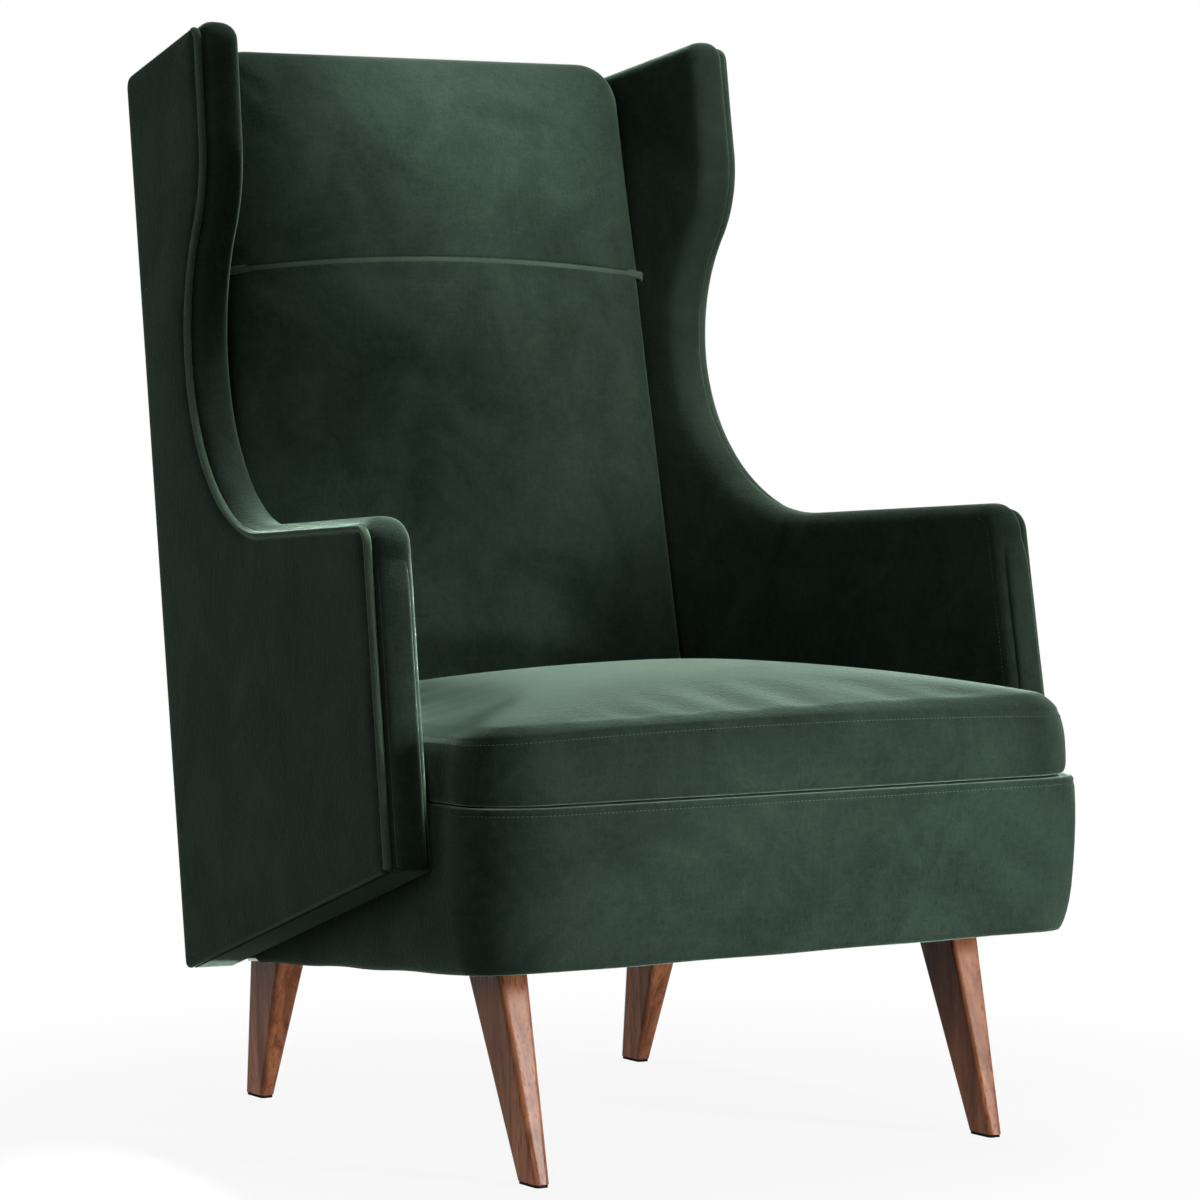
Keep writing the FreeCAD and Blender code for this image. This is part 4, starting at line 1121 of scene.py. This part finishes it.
def wood_grain_group():
    """Colour and height of wood with its grain along one axis: dark pores over broad grain."""
    group, entry, leave = new_group(
        "wood grain",
        [("Dark", "NodeSocketColor", (0.05, 0.02, 0.01, 1)),
         ("Light", "NodeSocketColor", (0.2, 0.09, 0.05, 1)),
         ("Stretch", "NodeSocketVector", (1.0, 1.0, 0.08)), ("Scale", "NodeSocketFloat", 60.0)],
        [("Color", "NodeSocketColor"), ("Height", "NodeSocketFloat")])
    place = add(group, "ShaderNodeTexCoord").outputs["Object"]
    drawn = add(group, "ShaderNodeVectorMath", [(place, 0), (entry.outputs["Stretch"], 1)],
                operation="MULTIPLY")
    broad = add(group, "ShaderNodeTexNoise",
                [(drawn.outputs[0], "Vector"), (entry.outputs["Scale"], "Scale")],
                Detail=5.0, Roughness=0.6, Distortion=1.2)
    fine_scale = scaled(group, entry.outputs["Scale"], PORE_FINENESS)
    pores = add(group, "ShaderNodeTexNoise", [(drawn.outputs[0], "Vector"), (fine_scale, "Scale")],
                Detail=2.0, Roughness=0.5)
    mask = add(group, "ShaderNodeMapRange", [(pores.outputs[0], "Value")],
               **{"From Min": 0.56, "From Max": 0.7})
    tone = add(group, "ShaderNodeMapRange", [(broad.outputs[0], "Value")],
               **{"From Min": 0.3, "From Max": 0.72})
    grain = mixed(group, tone.outputs[0], entry.outputs["Dark"], entry.outputs["Light"])
    colour = mixed(group, mask.outputs[0], grain, entry.outputs["Dark"])
    group.links.new(colour, leave.inputs["Color"])
    group.links.new(pores.outputs[0], leave.inputs["Height"])
    return group


wood_grain = wood_grain_group()
print("wood grain", len(wood_grain.nodes), "nodes")

# %% Wood, steel and small parts
PORE_STRENGTH = 0.15
PORE_DEPTH = 0.0003


def wood_material(name, dark, light, stretch, scale, roughness):
    """Wood between two colours, drawn out along one axis."""
    settings = {"Dark": (*dark, 1), "Light": (*light, 1), "Stretch": stretch, "Scale": scale}
    constants = {"Roughness": roughness, "Specular IOR Level": 0.1}
    return grouped_material(name, wood_grain, settings, PORE_STRENGTH, PORE_DEPTH, constants)


def metal_material(name, colour, roughness):
    """Metal with small differences in gloss from handling."""
    material, tree, shader = new_material(name)
    place = add(tree, "ShaderNodeTexCoord").outputs["Object"]
    smudge = add(tree, "ShaderNodeTexNoise", [(place, "Vector")], Scale=120.0, Detail=3.0)
    gloss = add(tree, "ShaderNodeMapRange", [(smudge.outputs[0], "Value")],
                **{"To Min": roughness - 0.1, "To Max": roughness + 0.15})
    tree.links.new(gloss.outputs[0], shader.inputs["Roughness"])
    shader.inputs["Base Color"].default_value = (*colour, 1)
    shader.inputs["Metallic"].default_value = 1.0
    return material


PALE_WOOD = ((0.42, 0.27, 0.13), (0.62, 0.44, 0.25))
walnut = wood_material("walnut stain", (0.14, 0.046, 0.018), (0.45, 0.175, 0.08), (1.0, 1.0, 0.07),
                       scale=55.0, roughness=0.24)
softwood = wood_material("softwood", *PALE_WOOD, (0.08, 1.0, 1.0), scale=45.0, roughness=0.6)
upright_wood = wood_material("upright softwood", *PALE_WOOD, (1.0, 1.0, 0.08), scale=45.0, roughness=0.6)
plywood = wood_material("plywood", (0.46, 0.31, 0.16), (0.66, 0.49, 0.29), (1.0, 0.2, 0.2),
                        scale=30.0, roughness=0.65)
steel = metal_material("zinc plated steel", (0.56, 0.56, 0.55), 0.35)
nylon = cloth_material("foot glide nylon", (0.01, 0.01, 0.01), (0.02, 0.02, 0.02), sheen=0.0,
                       patch_scale=40.0, weave_scale=600.0, bump=0.0002)
NODE_FINISHES = {
    walnut: ["front_right_leg", "front_left_leg", "rear_right_leg", "rear_left_leg"],
    softwood: ["front_rail", "rear_rail", "back_top_rail", "back_lower_rail", "corner_blocks",
               "right_side_rail", "left_side_rail"],
    upright_wood: ["right_back_post", "left_back_post"],
    plywood: ["right_side_frame", "left_side_frame"],
    steel: ["side_bolts", "post_screws", "hanger_bolts", "leg_plates"],
    nylon: ["foot_glides"],
}
for finish, names in NODE_FINISHES.items():
    for name in names:
        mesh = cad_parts[name].data
        mesh.materials.clear()
        mesh.materials.append(finish)
print("finished nodes", sum(len(names) for names in NODE_FINISHES.values()))

# %% [markdown]
# ## Studio
# The photograph has a white ground. Its light falls on the seat box from the front right and on the
# headrest and the right of the back from above, while the insides of the sides and the left outer face stay
# dark. Four narrow key lights do that, one more light grazes the left arm, one lies low for the legs, and a
# softbox overhead with three weak fills keeps every side readable. A narrow spread gathers a lamp's power,
# so a watt or two is enough. The floor is white to the camera by its own colour and still takes a faint
# shadow.

# %% Studio: lights
def area_light(name, place, target, size, power, spread=180.0):
    """Rectangular lamp turned to a target, with its spread in degrees."""
    light = bpy.data.lights.new(name, "AREA")
    light.shape = "RECTANGLE"
    light.size, light.size_y = size
    light.energy = power
    light.spread = math.radians(spread)
    lamp = bpy.data.objects.new(name, light)
    lamp.location = place
    lamp.rotation_euler = (Vector(target) - Vector(place)).to_track_quat("-Z", "Y").to_euler()
    bpy.context.scene.collection.objects.link(lamp)


area_light("seat key", (1.7, -3.1, 0.95), (0.1, -0.45, 0.18), (0.9, 0.7), 1.9, 18.0)
area_light("front key", (1.5, -3.2, 0.3), (0.12, -0.45, 0.27), (0.8, 0.2), 1.05, 17.0)
area_light("head key", (1.2, -2.8, 2.8), (0.08, 0.25, 1.12), (0.3, 0.3), 0.68, 7.0)
area_light("back key", (0.35, -3.2, 2.3), (0.22, 0.2, 0.8), (0.3, 0.3), 0.36, 8.0)
area_light("arm light", (0.2, 0.2, 2.7), (-0.38, -0.1, 0.62), (0.3, 0.3), 1.2, 9.0)
area_light("overhead softbox", (0.9, 0.45, 2.6), (-0.1, -0.1, 0.4), (0.9, 0.9), 26.0)
area_light("leg light", (-2.4, -2.4, 0.12), (0.0, -0.1, -0.2), (1.6, 0.15), 1.1, 13.0)
area_light("front fill", (-2.6, -2.2, 1.6), (0.0, -0.1, 0.6), (1.4, 1.4), 11.0)
area_light("rear fill", (-2.6, 1.3, 1.0), (-0.35, 0.1, 0.6), (1.5, 1.5), 11.0)
area_light("back fill", (1.4, 2.9, 1.7), (0.0, 0.35, 0.6), (1.6, 1.6), 20.0)

# %% Studio: white ground
def white_to_camera(tree):
    """Share of rays that should see plain white: camera, glossy and transmission rays."""
    path = add(tree, "ShaderNodeLightPath")
    seen = maths(tree, "MAXIMUM", path.outputs["Is Camera Ray"], path.outputs["Is Glossy Ray"])
    return maths(tree, "MAXIMUM", seen, path.outputs["Is Transmission Ray"])


AMBIENT = 0.05        # strength of the world as a light
FLOOR_REACH = 30.0
SHADOW_SHARE = 0.1    # share of plain paper in the floor near the chair, which takes the shadow
world = bpy.data.worlds.new("studio")
bpy.context.scene.world = world
world.use_nodes = True
tree = world.node_tree
tree.nodes.clear()
strength = add(tree, "ShaderNodeMapRange", [(white_to_camera(tree), "Value")],
               **{"To Min": AMBIENT, "To Max": 1.0})
sky = add(tree, "ShaderNodeBackground", [(strength.outputs[0], "Strength")])
sky.inputs["Color"].default_value = (1, 1, 1, 1)
tree.links.new(sky.outputs[0], add(tree, "ShaderNodeOutputWorld").inputs["Surface"])

floor_mesh = bpy.data.meshes.new("studio_floor")
corners = np.array([(-1, -1, 0), (1, -1, 0), (1, 1, 0), (-1, 1, 0)]) * FLOOR_REACH
floor_mesh.from_pydata(corners.tolist(), [], [(0, 1, 2, 3)])
floor = bpy.data.objects.new("studio_floor", floor_mesh)
bpy.context.scene.collection.objects.link(floor)
paper = bpy.data.materials.new("white paper")
paper.use_nodes = True
tree = paper.node_tree
tree.nodes.clear()
matte = add(tree, "ShaderNodeBsdfDiffuse", Color=(0.82, 0.82, 0.82, 1))
grey = add(tree, "ShaderNodeBsdfDiffuse", Color=(0.16, 0.16, 0.16, 1))
glow = add(tree, "ShaderNodeEmission", Color=(1, 1, 1, 1), Strength=1.0)
distance = add(tree, "ShaderNodeVectorMath", [(add(tree, "ShaderNodeTexCoord").outputs["Object"], 0)],
               operation="LENGTH")
near = add(tree, "ShaderNodeMapRange", [(distance.outputs["Value"], "Value")],
           interpolation_type="SMOOTHSTEP",
           **{"From Min": 0.35, "From Max": 1.1, "To Min": SHADOW_SHARE, "To Max": 0.0})
shown = add(tree, "ShaderNodeMixShader",
            [(near.outputs[0], "Fac"), (glow.outputs[0], 1), (matte.outputs[0], 2)])
paper_mix = add(tree, "ShaderNodeMixShader",
                [(white_to_camera(tree), "Fac"), (grey.outputs[0], 1), (shown.outputs[0], 2)])
tree.links.new(paper_mix.outputs[0], add(tree, "ShaderNodeOutputMaterial").inputs["Surface"])
floor_mesh.materials.append(paper)
print("floor", floor.name, "world", world.name)

# %% [markdown]
# ## Camera
# The camera was fitted to the outlines of both sides and the four feet, so its numbers are kept as they
# came out: a long lens, nearly level, from the front left.

# %% Camera
CAMERA_PLACE = (-2.5096, -4.0902, 0.7807)
CAMERA_DIP = 3.03       # degrees below level
CAMERA_TURN = 32.12     # degrees to the right of straight ahead
camera_data = bpy.data.cameras.new("camera")
camera_data.sensor_width = 36.0
camera_data.lens = 138.8
camera = bpy.data.objects.new("camera", camera_data)
camera.location = (CAMERA_PLACE[0], CAMERA_PLACE[1] + SHIFT_Y * MM, CAMERA_PLACE[2])
camera.rotation_euler = (math.radians(90 - CAMERA_DIP), 0.0, math.radians(-CAMERA_TURN))
bpy.context.scene.collection.objects.link(camera)
bpy.context.scene.camera = camera
bpy.context.scene.view_settings.view_transform = "Standard"
print("camera at", [round(value, 3) for value in camera.location])

# %% [markdown]
# ## Update
# The last line brings the scene up to date.

# %% Update
bpy.context.view_layer.update()
